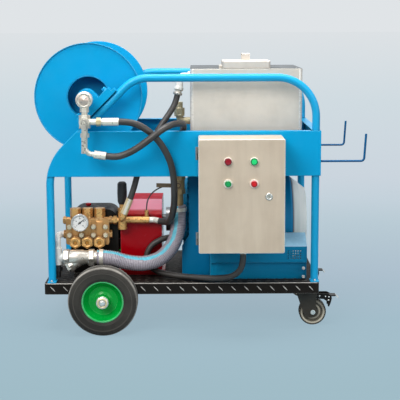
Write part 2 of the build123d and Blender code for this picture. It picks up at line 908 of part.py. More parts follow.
# Swivel head, down pipe, three-way valve and elbow
with BuildPart() as feed_manifold:
    swivel_front = swivel_y - swivel_depth / 2
    lathe(
        [
            (0, 0),
            (0, swivel_radius - 4),
            (4, swivel_radius),
            (swivel_depth, swivel_radius),
            (swivel_depth, swivel_radius - 6),
            (swivel_back - swivel_front, swivel_radius - 6),
            (swivel_back - swivel_front, 0),
        ],
        (reel_x, swivel_front, reel_z),
        (0, 1, 0),
    )
    rod((reel_x, swivel_y, reel_z), (reel_x, swivel_y, valve_z - 54), manifold_pipe)
    hex_bar(
        (reel_x, swivel_y, reel_z - swivel_radius - 14),
        (reel_x, swivel_y, reel_z - swivel_radius + 4),
        27,
    )
    hex_bar((reel_x, swivel_y, valve_z - 22), (reel_x, swivel_y, valve_z + 24), 2 * valve_body_radius - 6)
    rod((reel_x, swivel_y + valve_body_radius, valve_z), (reel_x, swivel_y - valve_body_radius, valve_z),
        valve_body_radius - 2)
    rod(
        (reel_x, swivel_y, valve_z),
        (reel_x, swivel_y - lever_standoff - lever_sheet, valve_z),
        lever_pin_radius,
    )
    rod((reel_x, swivel_y, valve_z), (branch_end_x, swivel_y, valve_z), manifold_pipe)
    hex_bar((branch_end_x - 22, swivel_y, valve_z), (branch_end_x - 6, swivel_y, valve_z), 26)
    hex_bar((reel_x, swivel_y, valve_z - 54), (reel_x, swivel_y, valve_z - 40), 27)
    pipe(
        [(reel_x, swivel_y, valve_z - 54), elbow_knee, elbow_end],
        manifold_pipe - 2,
        elbow_bend,
    )
    rod(
        (reel_x, swivel_back, reel_z),
        (reel_x, swivel_y - 4, reel_z),
        spigot_radius + running,
        mode=Mode.SUBTRACT,
    )
feed_manifold.part.label = "feed_manifold"
export_step(feed_manifold.part, "parts/feed_manifold.step")

# Flat lever of the three-way valve
with BuildPart() as reel_valve_lever:
    with BuildSketch(facing(swivel_y - lever_standoff)):
        with Locations((reel_x, valve_z)):
            Circle(lever_hub_radius)
        with BuildLine():
            Polyline(
                (reel_x - lever_width / 2, valve_z),
                (reel_x + lever_width / 2, valve_z),
                (reel_x + lever_width / 2 - 3, valve_z - lever_length),
                (reel_x - lever_width / 2 - 3, valve_z - lever_length),
                close=True,
            )
        make_face()
        with Locations((reel_x, valve_z)):
            Circle(lever_pin_radius + running, mode=Mode.SUBTRACT)
    extrude(amount=lever_sheet)
reel_valve_lever.part.label = "reel_valve_lever"
export_step(reel_valve_lever.part, "parts/reel_valve_lever.step")

# Water tank: welded sheet with a hatch collar and hinge lugs
collar_length = lid_length - 2 * lid_wall - 2 * collar_gap
collar_width = lid_width - 2 * lid_wall - 2 * collar_gap
lug_width = 16.0
lug_spread = 110.0
with BuildPart() as tank_shell:
    with BuildSketch(level(tank_bottom)):
        with Locations(((tank_x0 + tank_x1) / 2, (tank_y0 + tank_y1) / 2)):
            RectangleRounded(tank_x1 - tank_x0, tank_y1 - tank_y0, tank_corner)
    extrude(amount=tank_top - tank_bottom)
    with BuildSketch(level(tank_bottom + tank_wall)):
        with Locations(((tank_x0 + tank_x1) / 2, (tank_y0 + tank_y1) / 2)):
            RectangleRounded(
                tank_x1 - tank_x0 - 2 * tank_wall,
                tank_y1 - tank_y0 - 2 * tank_wall,
                tank_corner - tank_wall,
            )
    extrude(amount=tank_top - tank_bottom - 2 * tank_wall, mode=Mode.SUBTRACT)
    with BuildSketch(level(tank_top)):
        with Locations((lid_x, lid_y)):
            RectangleRounded(collar_length, collar_width, tank_corner)
    extrude(amount=collar_height)
    with BuildSketch(level(tank_top - tank_wall)):
        with Locations((lid_x, lid_y)):
            RectangleRounded(
                collar_length - 2 * collar_wall, collar_width - 2 * collar_wall, tank_corner - collar_wall
            )
    extrude(amount=tank_wall + collar_height, mode=Mode.SUBTRACT)
    for lug_y in (lid_y - lug_spread / 2, lid_y + lug_spread / 2):
        with BuildSketch(facing(lug_y + lug_width / 2)):
            with Locations((lid_hinge_x, lid_hinge_z)):
                Circle(lid_hinge_radius)
            with Locations((lid_hinge_x, tank_top)):
                Rectangle(2 * lid_hinge_radius, lid_hinge_z - tank_top, align=(Align.CENTER, Align.MIN))
        extrude(amount=lug_width)
    pin_end = lug_spread / 2 + lug_width / 2
    rod(
        (lid_hinge_x, lid_y - pin_end, lid_hinge_z),
        (lid_hinge_x, lid_y + pin_end, lid_hinge_z),
        lid_hinge_pin,
    )
tank_shell.part.label = "tank_shell"
export_step(tank_shell.part, "parts/tank_shell.step")

# Hatch lid: a pan over the collar with a strip handle and a hinge barrel
lid_base = tank_top + lid_gap
lid_top = lid_base + lid_height
barrel_half = lug_spread / 2 - lug_width / 2 - running
with BuildPart() as tank_lid:
    with BuildSketch(level(lid_base)):
        with Locations((lid_x, lid_y)):
            RectangleRounded(lid_length, lid_width, tank_corner)
    extrude(amount=lid_height)
    fillet(tank_lid.faces().sort_by(Axis.Z)[-1].edges(), lid_wall)
    with BuildSketch(level(lid_base)):
        with Locations((lid_x, lid_y)):
            RectangleRounded(lid_length - 2 * lid_wall, lid_width - 2 * lid_wall, tank_corner - lid_wall)
    extrude(amount=lid_height - lid_wall, mode=Mode.SUBTRACT)
    with BuildSketch(across(lid_x - handle_width / 2)):
        with Locations((lid_y, lid_top)):
            Rectangle(handle_length, handle_height, align=(Align.CENTER, Align.MIN))
            Rectangle(
                handle_length - 2 * handle_sheet,
                handle_height - handle_sheet,
                align=(Align.CENTER, Align.MIN),
                mode=Mode.SUBTRACT,
            )
    extrude(amount=handle_width)
    with BuildSketch(facing(lid_y + barrel_half)):
        with Locations((lid_hinge_x, lid_hinge_z)):
            Circle(lid_hinge_radius - running)
        with BuildLine():
            Polyline(
                (lid_hinge_x, lid_hinge_z + lid_hinge_radius - running),
                (lid_hinge_x + lid_hinge_radius + lid_wall, lid_hinge_z + lid_hinge_radius - running),
                (lid_hinge_x + lid_hinge_radius + lid_wall, lid_hinge_z),
                (lid_hinge_x, lid_hinge_z),
                close=True,
            )
        make_face()
        with Locations((lid_hinge_x, lid_hinge_z)):
            Circle(lid_hinge_pin + running, mode=Mode.SUBTRACT)
    extrude(amount=2 * barrel_half)
tank_lid.part.label = "tank_lid"
export_step(tank_lid.part, "parts/tank_lid.step")

# Brass fittings on the tank's left wall: outlet ball valve, relief elbow and supply coupling
with BuildPart() as tank_fittings:
    pipe(
        [(tank_x0, outlet_y, outlet_z), (outlet_x, outlet_y, outlet_z), (outlet_x, outlet_y, outlet_end_z)],
        outlet_pipe,
        outlet_pipe + 8,
    )
    hex_bar(
        (outlet_x, outlet_y, outlet_lever_z + 18),
        (outlet_x, outlet_y, outlet_lever_z + 34),
        2.5 * outlet_pipe,
    )
    hex_bar(
        (outlet_x, outlet_y, outlet_lever_z - 34),
        (outlet_x, outlet_y, outlet_lever_z - 18),
        2.5 * outlet_pipe,
    )
    rod(
        (outlet_x, outlet_y, outlet_lever_z - 18),
        (outlet_x, outlet_y, outlet_lever_z + 18),
        1.3 * outlet_pipe,
    )
    rod(
        (outlet_x, outlet_y, outlet_lever_z),
        (outlet_x, outlet_y - 1.3 * outlet_pipe - 5, outlet_lever_z),
        11,
    )
    outlet_lever_back = outlet_y - 1.3 * outlet_pipe - 5 - running
    rod((outlet_x, outlet_y, outlet_lever_z), (outlet_x, outlet_lever_back - lever_sheet, outlet_lever_z),
        lever_pin_radius)
    pipe(
        [(tank_x0, relief_knee.Y, relief_knee.Z), tuple(relief_knee), tuple(relief_tip)],
        manifold_pipe,
        manifold_pipe + 3,
    )
    pipe(
        [(tank_x0, supply_y, supply_z), (supply_x, supply_y, supply_z), (supply_x, supply_y, supply_end_z)],
        supply_nipple_radius,
        supply_nipple_radius + 4,
    )
    nut_top = supply_end_z - supply_nipple_length
    hex_bar((supply_x, supply_y, nut_top - 24), (supply_x, supply_y, nut_top), 34)
    rod((supply_x, supply_y, nut_top - 31), (supply_x, supply_y, nut_top - 24), supply_nipple_radius + 6)
tank_fittings.part.label = "tank_fittings"
export_step(tank_fittings.part, "parts/tank_fittings.step")

# Outlet valve lever, which lies across the pipe when shut
with BuildPart() as outlet_valve_lever:
    with BuildSketch(facing(outlet_lever_back)):
        with Locations((outlet_x, outlet_lever_z)):
            Circle(lever_hub_radius)
        with BuildLine():
            Polyline(
                (outlet_x, outlet_lever_z - lever_width / 2),
                (outlet_x, outlet_lever_z + lever_width / 2),
                (outlet_x - outlet_lever_length, outlet_lever_z + lever_width / 2 + 2),
                (outlet_x - outlet_lever_length, outlet_lever_z - lever_width / 2 + 2),
                close=True,
            )
        make_face()
        with Locations((outlet_x, outlet_lever_z)):
            Circle(lever_pin_radius + running, mode=Mode.SUBTRACT)
    extrude(amount=lever_sheet)
outlet_valve_lever.part.label = "outlet_valve_lever"
export_step(outlet_valve_lever.part, "parts/outlet_valve_lever.step")

# Control box: open-fronted sheet box with hinge knuckles and a gland under it
box_mid = (box_x0 + box_width / 2, box_bottom + box_height / 2)
hinge_ends = (box_bottom + 50, box_bottom + box_height - 50)
with BuildPart() as control_box:
    with BuildSketch(facing(box_back)):
        with Locations(box_mid):
            RectangleRounded(box_width, box_height, box_corner)
    extrude(amount=box_depth)
    with BuildSketch(facing(box_back - box_wall)):
        with Locations(box_mid):
            RectangleRounded(box_width - 2 * box_wall, box_height - 2 * box_wall, box_corner - box_wall)
    extrude(amount=box_depth - box_wall, mode=Mode.SUBTRACT)
    for knuckle_z in hinge_ends:
        with BuildSketch(level(knuckle_z - hinge_knuckle - running)):
            with Locations((hinge_x, box_front)):
                Circle(hinge_radius)
            with Locations((hinge_x, box_front)):
                Rectangle(2 * hinge_radius, 18, align=(Align.CENTER, Align.MIN))
        extrude(amount=hinge_knuckle)
        rod(
            (hinge_x, box_front, knuckle_z - hinge_knuckle - running),
            (hinge_x, box_front, knuckle_z + hinge_knuckle),
            hinge_pin,
        )
    rod(
        (box_gland_x, box_gland_y, box_bottom),
        (box_gland_x, box_gland_y, box_bottom - gland_length),
        gland_radius,
    )
control_box.part.label = "control_box"
export_step(control_box.part, "parts/control_box.step")

# Door: a pan with bezels for the buttons, a lock hole and hinge knuckles
button_places = ((control_x - control_pitch / 2, button_z), (control_x + control_pitch / 2, button_z))
lamp_places = ((control_x - control_pitch / 2, lamp_z), (control_x + control_pitch / 2, lamp_z))
with BuildPart() as box_door:
    with BuildSketch(facing(door_back)):
        with Locations(box_mid):
            RectangleRounded(box_width, box_height, box_corner)
    extrude(amount=door_thick)
    fillet(box_door.faces().sort_by(Axis.Y)[0].edges(), box_corner - 2 * box_wall + 1.5)
    with BuildSketch(facing(door_back)):
        with Locations(box_mid):
            RectangleRounded(box_width - 2 * box_wall, box_height - 2 * box_wall, box_corner - box_wall)
    extrude(amount=door_thick - box_wall, mode=Mode.SUBTRACT)
    with BuildSketch(facing(door_front)):
        with Locations(*button_places):
            Circle(bezel_radius)
    extrude(amount=bezel_height)
    with BuildSketch(facing(door_front + box_wall)):
        with Locations(*button_places):
            Circle(button_radius + running)
        with Locations((lock_x, lock_z)):
            Circle(lock_radius + running)
    extrude(amount=box_wall + bezel_height, mode=Mode.SUBTRACT)
    for knuckle_z in hinge_ends:
        with BuildSketch(level(knuckle_z)):
            with Locations((hinge_x, box_front)):
                Circle(hinge_radius)
            with Locations((hinge_x, door_back - door_thick / 2)):
                Rectangle(2 * hinge_radius, door_thick / 2 + door_gap, align=(Align.CENTER, Align.MIN))
            with Locations((hinge_x, box_front)):
                Circle(hinge_pin + running, mode=Mode.SUBTRACT)
        extrude(amount=hinge_knuckle)
box_door.part.label = "box_door"
export_step(box_door.part, "parts/box_door.step")

# Pilot lamps, push buttons and the lock on the door
lamp_profile = [
    (0, 0),
    (0, bezel_radius),
    (bezel_height, bezel_radius - 1),
    (bezel_height, lamp_radius),
    (lamp_height - 3, lamp_radius - 1),
    (lamp_height, lamp_radius - 5),
    (lamp_height, 0),
]
with BuildPart() as pilot_lamps:
    for lamp_x, lamp_height_z in lamp_places:
        lathe(lamp_profile, (lamp_x, door_front, lamp_height_z), (0, -1, 0))
pilot_lamps.part.label = "pilot_lamps"
export_step(pilot_lamps.part, "parts/pilot_lamps.step")

button_profile = [
    (-button_travel, 0),
    (-button_travel, button_radius),
    (button_height - 1.5, button_radius),
    (button_height, button_radius - 1.5),
    (button_height, 0),
]
for label, (press_x, press_z) in zip(("start_button", "stop_button"), button_places):
    with BuildPart() as button:
        lathe(button_profile, (press_x, door_front, press_z), (0, -1, 0))
    button.part.label = label
    export_step(button.part, f"parts/{label}.step")

with BuildPart() as door_lock:
    cam_y = box_front + 6.0
    lathe(
        [
            (0, 0),
            (0, lock_radius),
            (cam_y - door_front, lock_radius),
            (cam_y - door_front, 0),
        ],
        (lock_x, door_front, lock_z),
        (0, 1, 0),
    )
    lathe(
        [(0, 0), (0, lock_radius + 3), (3, lock_radius + 1), (3, 0)],
        (lock_x, door_front - running, lock_z),
        (0, -1, 0),
    )
    rod((lock_x, door_front, lock_z), (lock_x, door_front - running, lock_z), lock_radius)
    with BuildSketch(facing(cam_y + 3)):
        with Locations((lock_x + (lock_cam - lock_radius) / 2, lock_z)):
            SlotOverall(lock_cam + lock_radius, 2 * lock_radius - 4)
    extrude(amount=3)
    block(
        (lock_x - 1.5, door_front - running - 4, lock_z - 6),
        (lock_x + 1.5, door_front - running - 1.5, lock_z + 6),
        mode=Mode.SUBTRACT,
    )
door_lock.part.label = "door_lock"
export_step(door_lock.part, "parts/door_lock.step")

# Switchgear on its plate against the box's back wall
plate_y = box_back - box_wall
with BuildPart() as switchgear:
    with BuildSketch(facing(plate_y)):
        with Locations(box_mid):
            Rectangle(box_width - 44, box_height - 50)
    extrude(amount=gear_plate)
    with BuildSketch(facing(plate_y - gear_plate)):
        with Locations((box_mid[0], box_bottom + 270)):
            with GridLocations(78, 1, 3, 1):
                Rectangle(68, 86)
        with Locations((box_mid[0] - 40, box_bottom + 170)):
            Rectangle(68, 70)
    extrude(amount=62)
    with BuildSketch(facing(plate_y - gear_plate - 62)):
        with Locations((box_mid[0], box_bottom + 270)):
            with GridLocations(78, 1, 3, 1):
                Rectangle(44, 50)
        with Locations((box_mid[0] - 40, box_bottom + 170)):
            Rectangle(40, 30)
    extrude(amount=12)
    with BuildSketch(facing(plate_y - gear_plate)):
        with Locations((box_mid[0], box_bottom + 80)):
            Rectangle(200, 35)
            with GridLocations(16, 1, 12, 1):
                Rectangle(13, 46)
    extrude(amount=40)
switchgear.part.label = "switchgear"
export_step(switchgear.part, "parts/switchgear.step")

# Motor housing: finned body, two end shields, feet and a cable gland
motor_end_x = motor_face_x + motor_length
core_x0 = (motor_length - stator_length) / 2
with BuildPart() as motor_housing:
    lathe(
        [
            (0, shaft_radius + running),
            (0, shield_radius),
            (shield_thick, shield_radius),
            (shield_thick, motor_body),
            (motor_length - shield_thick, motor_body),
            (motor_length - shield_thick, shield_radius),
            (motor_length, shield_radius),
            (motor_length, shaft_radius + running),
            (motor_length - shield_thick, shaft_radius + running),
            (motor_length - shield_thick, winding_bore),
            (motor_length - core_x0, winding_bore),
            (motor_length - core_x0, stator_bore),
            (core_x0, stator_bore),
            (core_x0, winding_bore),
            (shield_thick, winding_bore),
            (shield_thick, shaft_radius + running),
        ],
        (motor_face_x, motor_y, motor_z),
        (1, 0, 0),
    )
    fin_height = motor_fin_radius - motor_body
    with BuildSketch(across(motor_face_x + shield_thick)):
        with Locations((motor_y, motor_z)):
            with PolarLocations(motor_body + fin_height / 2 - 1, motor_fins, start_angle=180 / motor_fins):
                Rectangle(fin_height + 2, motor_fin_thick)
    extrude(amount=motor_length - 2 * shield_thick)
    for foot_y in (motor_y - motor_foot_spread / 2, motor_y + motor_foot_spread / 2):
        foot_x0 = motor_face_x + (motor_length - motor_foot_length) / 2
        with BuildSketch(across(foot_x0)):
            with BuildLine():
                half = motor_foot_width / 2
                reach = sqrt(motor_body ** 2 - (foot_y - motor_y) ** 2)
                Polyline(
                    (foot_y - half, deck_top),
                    (foot_y + half, deck_top),
                    (foot_y + half, deck_top + motor_foot_height / 3),
                    (foot_y + half / 3, motor_z - reach + 10),
                    (foot_y - half / 3, motor_z - reach + 10),
                    (foot_y - half, deck_top + motor_foot_height / 3),
                    close=True,
                )
            make_face()
        extrude(amount=motor_foot_length)
    rod(tuple(motor_gland), tuple(motor_gland + motor_gland_run * (motor_gland_reach + 8)), gland_radius)
    rod(tuple(cable_end), tuple(cable_end + cable_run * 16), 1.6 * switch_cable_d)
motor_housing.part.label = "motor_housing"
export_step(motor_housing.part, "parts/motor_housing.step")

# Fan cowl with a slotted end
with BuildPart() as fan_cowl:
    cowl_length = cowl_straight + cowl_taper
    lathe(
        [
            (0, shield_radius + seat),
            (0, cowl_radius),
            (cowl_straight, cowl_radius),
            (cowl_length, cowl_end_radius),
            (cowl_length, 0),
            (cowl_length - cowl_sheet, 0),
            (cowl_length - cowl_sheet, cowl_end_radius - cowl_sheet),
            (cowl_straight, cowl_radius - cowl_sheet),
            (2, cowl_radius - cowl_sheet),
            (2, shield_radius + seat),
        ],
        (motor_end_x - 2, motor_y, motor_z),
        (1, 0, 0),
    )
    with BuildSketch(across(motor_end_x - 2 + cowl_length - cowl_sheet)):
        with Locations((motor_y, motor_z)):
            with PolarLocations((cowl_end_radius + 30) / 2, 18):
                SlotOverall(cowl_end_radius - 44, 7)
    extrude(amount=cowl_sheet, mode=Mode.SUBTRACT)
fan_cowl.part.label = "fan_cowl"
export_step(fan_cowl.part, "parts/fan_cowl.step")


def gear_outline(teeth, phase):
    """Outline of a spur gear about the sketch's middle: straight-flanked teeth with backlash."""
    pitch_radius = tooth_module * teeth / 2
    steps = (
        (pitch_radius - 1.2 * tooth_module, 0.78),
        (pitch_radius, 0.68),
        (pitch_radius + 0.85 * tooth_module, 0.32),
    )
    points = []
    for tooth in range(teeth):
        middle = 2 * pi * (tooth + phase) / teeth
        for radius, thickness in steps:
            half = thickness * tooth_module * pi / 4 / radius
            points.append((radius * cos(middle - half), radius * sin(middle - half)))
        for radius, thickness in reversed(steps):
            half = thickness * tooth_module * pi / 4 / radius
            points.append((radius * cos(middle + half), radius * sin(middle + half)))
    return points


# Motor rotor: shaft, core, coupling halves, fan and the pinion
with BuildPart() as motor_rotor:
    shaft_start = gear_case_x0 + gear_case_wall + 8
    rod((shaft_start, motor_y, motor_z), (motor_end_x + cowl_straight + 24, motor_y, motor_z), shaft_radius)
    rod((motor_face_x + core_x0, motor_y, motor_z), (motor_end_x - core_x0, motor_y, motor_z), rotor_radius)
    coupling_x = (gear_case_x1 + motor_face_x) / 2
    for face_x in (coupling_x - 28, coupling_x + 2):
        rod((face_x, motor_y, motor_z), (face_x + 26, motor_y, motor_z), coupling_radius)
    with BuildSketch(across(coupling_x - 2)):
        with Locations((motor_y, motor_z)):
            with PolarLocations(coupling_radius - 14, 6):
                Rectangle(20, 14)
    extrude(amount=4)
    fan_x = motor_end_x + 12
    rod((fan_x, motor_y, motor_z), (fan_x + 34, motor_y, motor_z), shaft_radius + 14)
    with BuildSketch(across(fan_x + 2)):
        with Locations((motor_y, motor_z)):
            with PolarLocations((fan_radius + shaft_radius + 12) / 2, fan_blades):
                Rectangle(fan_radius - shaft_radius - 12, 4)
    extrude(amount=30)
    pinion_side = (gear_x - gear_face / 2, motor_y, motor_z)
    with BuildSketch(Plane(origin=pinion_side, x_dir=(0, 1, 0), z_dir=(1, 0, 0))):
        with BuildLine():
            Polyline(*gear_outline(pinion_teeth, 0), close=True)
        make_face()
    extrude(amount=gear_face)
motor_rotor.part.label = "motor_rotor"
export_step(motor_rotor.part, "parts/motor_rotor.step")

# Crankshaft: three throws in the pump and the driven gear in the gear case
with BuildPart() as crankshaft:
    rod(
        (pump_x0 + crankcase_wall / 2, crank_y, crank_z),
        (gear_x + gear_face, crank_y, crank_z),
        journal_radius,
    )
    for number in range(3):
        throw_x = head_x + (number - 1) * plunger_pitch
        turn = radians(120 * number)
        throw_y = crank_y + throw_offset * cos(turn)
        throw_z = crank_z + throw_offset * sin(turn)
        rod((throw_x - throw_width / 2, throw_y, throw_z), (throw_x + throw_width / 2, throw_y, throw_z),
            throw_radius)
    gear_side = (gear_x - gear_face / 2, crank_y, crank_z)
    with BuildSketch(Plane(origin=gear_side, x_dir=(0, 1, 0), z_dir=(1, 0, 0))):
        with BuildLine():
            Polyline(*gear_outline(wheel_teeth, 0.5), close=True)
        make_face()
    extrude(amount=gear_face)
crankshaft.part.label = "crankshaft"
export_step(crankshaft.part, "parts/crankshaft.step")

# Gear case: a cast box with a sloped brow and a leaning end, on a wider base
case_top = deck_top + gear_case_height
with BuildPart() as gear_case:
    with BuildSketch(across(gear_case_x0)):
        with BuildLine():
            Polyline(
                (gear_case_front, deck_top),
                (gear_case_front, case_top - gear_case_slope),
                (gear_case_front + gear_case_slope, case_top),
                (gear_case_back - gear_case_slope / 2, case_top),
                (gear_case_back, case_top - gear_case_slope / 2),
                (gear_case_back, deck_top),
                close=True,
            )
        make_face()
    extrude(amount=gear_case_width)
    with BuildSketch(facing(gear_case_back)):
        with BuildLine():
            Polyline(
                (gear_case_x0, deck_top),
                (gear_case_x0, case_top - 1.5 * gear_case_slope),
                (gear_case_x0 + gear_case_lean, case_top),
                (gear_case_x1, case_top),
                (gear_case_x1, deck_top),
                close=True,
            )
        make_face()
    extrude(amount=gear_case_back - gear_case_front, mode=Mode.INTERSECT)
    with BuildSketch(level(deck_top)):
        with Locations(((gear_case_x0 + gear_case_x1) / 2, (gear_case_front + gear_case_back) / 2)):
            RectangleRounded(
                gear_case_width + 2 * gear_base_margin,
                gear_case_back - gear_case_front + 2 * gear_base_margin,
                gear_base_margin,
            )
    extrude(amount=gear_base_height)
    with BuildSketch(across(gear_case_x0 + gear_case_wall)):
        with BuildLine():
            Polyline(
                (gear_case_front + gear_case_wall, crank_z - 70),
                (gear_case_front + gear_case_wall, crank_z + 50),
                (crank_y, crank_z + 70),
                (motor_y, crank_z + 70),
                (gear_case_back - gear_case_wall, crank_z + 50),
                (gear_case_back - gear_case_wall, crank_z - 70),
                close=True,
            )
        make_face()
    extrude(amount=gear_case_width - 2 * gear_case_wall, mode=Mode.SUBTRACT)
    rod((gear_case_x0, crank_y, crank_z), (gear_case_x0 + gear_case_wall, crank_y, crank_z),
        journal_radius + running, mode=Mode.SUBTRACT)
    rod((gear_case_x1 - gear_case_wall, motor_y, motor_z), (gear_case_x1, motor_y, motor_z),
        shaft_radius + running, mode=Mode.SUBTRACT)
gear_case.part.label = "gear_case"
export_step(gear_case.part, "parts/gear_case.step")

# Sheet skirt in front of the motor's feet, with a vent pattern
with BuildPart() as motor_skirt:
    with BuildSketch(across(skirt_x0)):
        with BuildLine():
            Polyline(
                (skirt_front + skirt_recess, deck_top),
                (skirt_front + skirt_recess, skirt_step_z),
                (skirt_front, skirt_step_z),
                (skirt_front, skirt_brow_z),
                (skirt_back, skirt_top_z),
                (skirt_back, deck_top),
                close=True,
            )
        make_face()
    extrude(amount=skirt_length)
    skirt_open = [motor_skirt.faces().sort_by(Axis.Z)[0], motor_skirt.faces().sort_by(Axis.Y)[-1]]
    offset(amount=-skirt_sheet, openings=skirt_open)
    with BuildSketch(facing(skirt_front + skirt_sheet)):
        with Locations((skirt_x0 + skirt_length - 46, (skirt_step_z + skirt_brow_z) / 2)):
            with GridLocations(vent_pitch, vent_pitch, vent_columns, vent_rows):
                Circle(vent_radius)
    extrude(amount=skirt_sheet, mode=Mode.SUBTRACT)
motor_skirt.part.label = "motor_skirt"
export_step(motor_skirt.part, "parts/motor_skirt.step")

# Pump stand: a folded bridge under the crankcase
pump_mid_x = (pump_x0 + pump_x1) / 2
with BuildPart() as pump_stand:
    half = crankcase_depth / 2 - 8
    with BuildSketch(across(pump_mid_x - stand_length / 2)):
        with BuildLine():
            Polyline(
                (crank_y - half - stand_foot, deck_top),
                (crank_y - half, deck_top),
                (crank_y - half, crankcase_bottom - stand_sheet),
                (crank_y + half, crankcase_bottom - stand_sheet),
                (crank_y + half, deck_top),
                (crank_y + half + stand_foot, deck_top),
                (crank_y + half + stand_foot, deck_top + stand_sheet),
                (crank_y + half + stand_sheet, deck_top + stand_sheet),
                (crank_y + half + stand_sheet, crankcase_bottom),
                (crank_y - half - stand_sheet, crankcase_bottom),
                (crank_y - half - stand_sheet, deck_top + stand_sheet),
                (crank_y - half - stand_foot, deck_top + stand_sheet),
                close=True,
            )
        make_face()
    extrude(amount=stand_length)
pump_stand.part.label = "pump_stand"
export_step(pump_stand.part, "parts/pump_stand.step")

# Pump crankcase: round-shouldered casting with a flange to the gear case
with BuildPart() as pump_crankcase:
    with BuildSketch(facing(crankcase_back)) as case_outline:
        with Locations((pump_mid_x, (crankcase_bottom + crankcase_top) / 2)):
            Rectangle(crankcase_length, crankcase_top - crankcase_bottom)
        fillet(case_outline.vertices().group_by(Axis.Y)[-1], crankcase_round)
    extrude(amount=crankcase_depth)
    with BuildSketch(facing(crankcase_back - crankcase_wall)) as case_hollow:
        with Locations((pump_mid_x, (crankcase_bottom + crankcase_top) / 2)):
            Rectangle(
                crankcase_length - 2 * crankcase_wall, crankcase_top - crankcase_bottom - 2 * crankcase_wall
            )
        fillet(case_hollow.vertices().group_by(Axis.Y)[-1], crankcase_round - crankcase_wall)
    extrude(amount=crankcase_depth - 2 * crankcase_wall, mode=Mode.SUBTRACT)
    rod((pump_x1, crank_y, crank_z), (gear_case_x0, crank_y, crank_z), pump_flange_radius)
    rod((pump_x0 + crankcase_wall / 2 - running, crank_y, crank_z), (gear_case_x0, crank_y, crank_z),
        journal_radius + running, mode=Mode.SUBTRACT)
pump_crankcase.part.label = "pump_crankcase"
export_step(pump_crankcase.part, "parts/pump_crankcase.step")

# Oil cap on top of the crankcase
with BuildPart() as oil_cap:
    lathe(
        [
            (0, 0),
            (0, oil_cap_radius - 3),
            (3, oil_cap_radius - 3),
            (3, oil_cap_radius),
            (oil_cap_height - 2, oil_cap_radius),
            (oil_cap_height, oil_cap_radius - 3),
            (oil_cap_height, 0),
        ],
        (pump_mid_x - 28, crank_y, crankcase_top),
        (0, 0, 1),
    )
oil_cap.part.label = "oil_cap"
export_step(oil_cap.part, "parts/oil_cap.step")

# Brass pump head: valve chest with bosses, side ports and an inlet
cap_places = [head_x + (number - 1) * plunger_pitch for number in range(3)]
with BuildPart() as pump_head:
    with BuildSketch(facing(crankcase_front)) as chest_outline:
        with Locations((head_x, (head_bottom + 10 + head_top) / 2)):
            Rectangle(head_width, head_top - head_bottom - 10)
        fillet(chest_outline.vertices(), 8)
        with Locations(*[(cap_x, lower_cap_z) for cap_x in cap_places]):
            Circle(cap_boss_radius)
    extrude(amount=head_depth)
    with BuildSketch(facing(head_front)):
        with Locations(*[(cap_x, lower_cap_z) for cap_x in cap_places]):
            Circle(cap_boss_radius)
    extrude(amount=cap_boss_height)
    for cap_x in cap_places:
        rod((cap_x, upper_cap_y, head_top), (cap_x, upper_cap_y, head_top + 6), cap_boss_radius - 2)
    port_half = head_width / 2 + 12
    rod((head_x - port_half, port_y, port_z), (head_x + port_half, port_y, port_z), port_radius - 2)
    for outward in (-1, 1):
        hex_bar(
            (head_x + outward * head_width / 2, port_y, port_z),
            (head_x + outward * (port_half - 3), port_y, port_z),
            2 * port_radius - 2,
        )
        hex_bar(
            (head_x + outward * head_width / 2, port_y, inlet_z),
            (head_x + outward * (port_half - 2), port_y, inlet_z),
            2 * port_radius,
        )
pump_head.part.label = "pump_head"
export_step(pump_head.part, "parts/pump_head.step")

# Hexagon valve caps: three facing forward, three on top
with BuildPart() as valve_caps:
    cap_seat = head_front - cap_boss_height
    for cap_x in cap_places:
        hex_bar((cap_x, cap_seat, lower_cap_z), (cap_x, cap_seat - cap_height, lower_cap_z), cap_flats)
        rod(
            (cap_x, cap_seat - cap_height, lower_cap_z),
            (cap_x, cap_seat - 5, lower_cap_z),
            cap_hole_radius,
            mode=Mode.SUBTRACT,
        )
        hex_bar(
            (cap_x, upper_cap_y, head_top + 6),
            (cap_x, upper_cap_y, head_top + 6 + upper_cap_height),
            cap_flats - 3,
        )
valve_caps.part.label = "valve_caps"
export_step(valve_caps.part, "parts/valve_caps.step")

# Head bolts in two rows of four
with BuildPart() as head_bolts:
    for bolt_z in bolt_rows:
        for number in range(4):
            bolt_x = head_x + (number - 1.5) * plunger_pitch
            rod((bolt_x, head_front, bolt_z), (bolt_x, head_front - 2.5, bolt_z), bolt_radius + 1.5)
            hex_bar(
                (bolt_x, head_front - 2.5, bolt_z),
                (bolt_x, head_front - bolt_height, bolt_z),
                2 * bolt_radius - 2,
            )
head_bolts.part.label = "head_bolts"
export_step(head_bolts.part, "parts/head_bolts.step")

# Pressure gauge: cup with a recessed dial, on a back stem with the needle's pin
gauge_back = head_front - gauge_stem
gauge_front = gauge_back - gauge_depth
dial_y = gauge_front + gauge_recess
with BuildPart() as pressure_gauge:
    lathe(
        [
            (0, 0),
            (0, gauge_radius - 4),
            (4, gauge_radius - 1),
            (gauge_depth - 9, gauge_radius - 1),
            (gauge_depth - 8, gauge_radius),
            (gauge_depth - 1.5, gauge_radius),
            (gauge_depth, gauge_radius - 1.5),
            (gauge_depth, gauge_radius - gauge_bezel),
            (gauge_depth - gauge_recess, gauge_radius - gauge_bezel - 0.5),
            (gauge_depth - gauge_recess, 1.2),
            (gauge_depth - gauge_recess + 2.6, 1.2),
            (gauge_depth - gauge_recess + 2.6, 0),
        ],
        (gauge_x, gauge_back, gauge_z),
        (0, -1, 0),
    )
    rod((gauge_x, head_front, gauge_z), (gauge_x, gauge_back, gauge_z), gauge_stem_radius)
pressure_gauge.part.label = "pressure_gauge"
export_step(pressure_gauge.part, "parts/pressure_gauge.step")

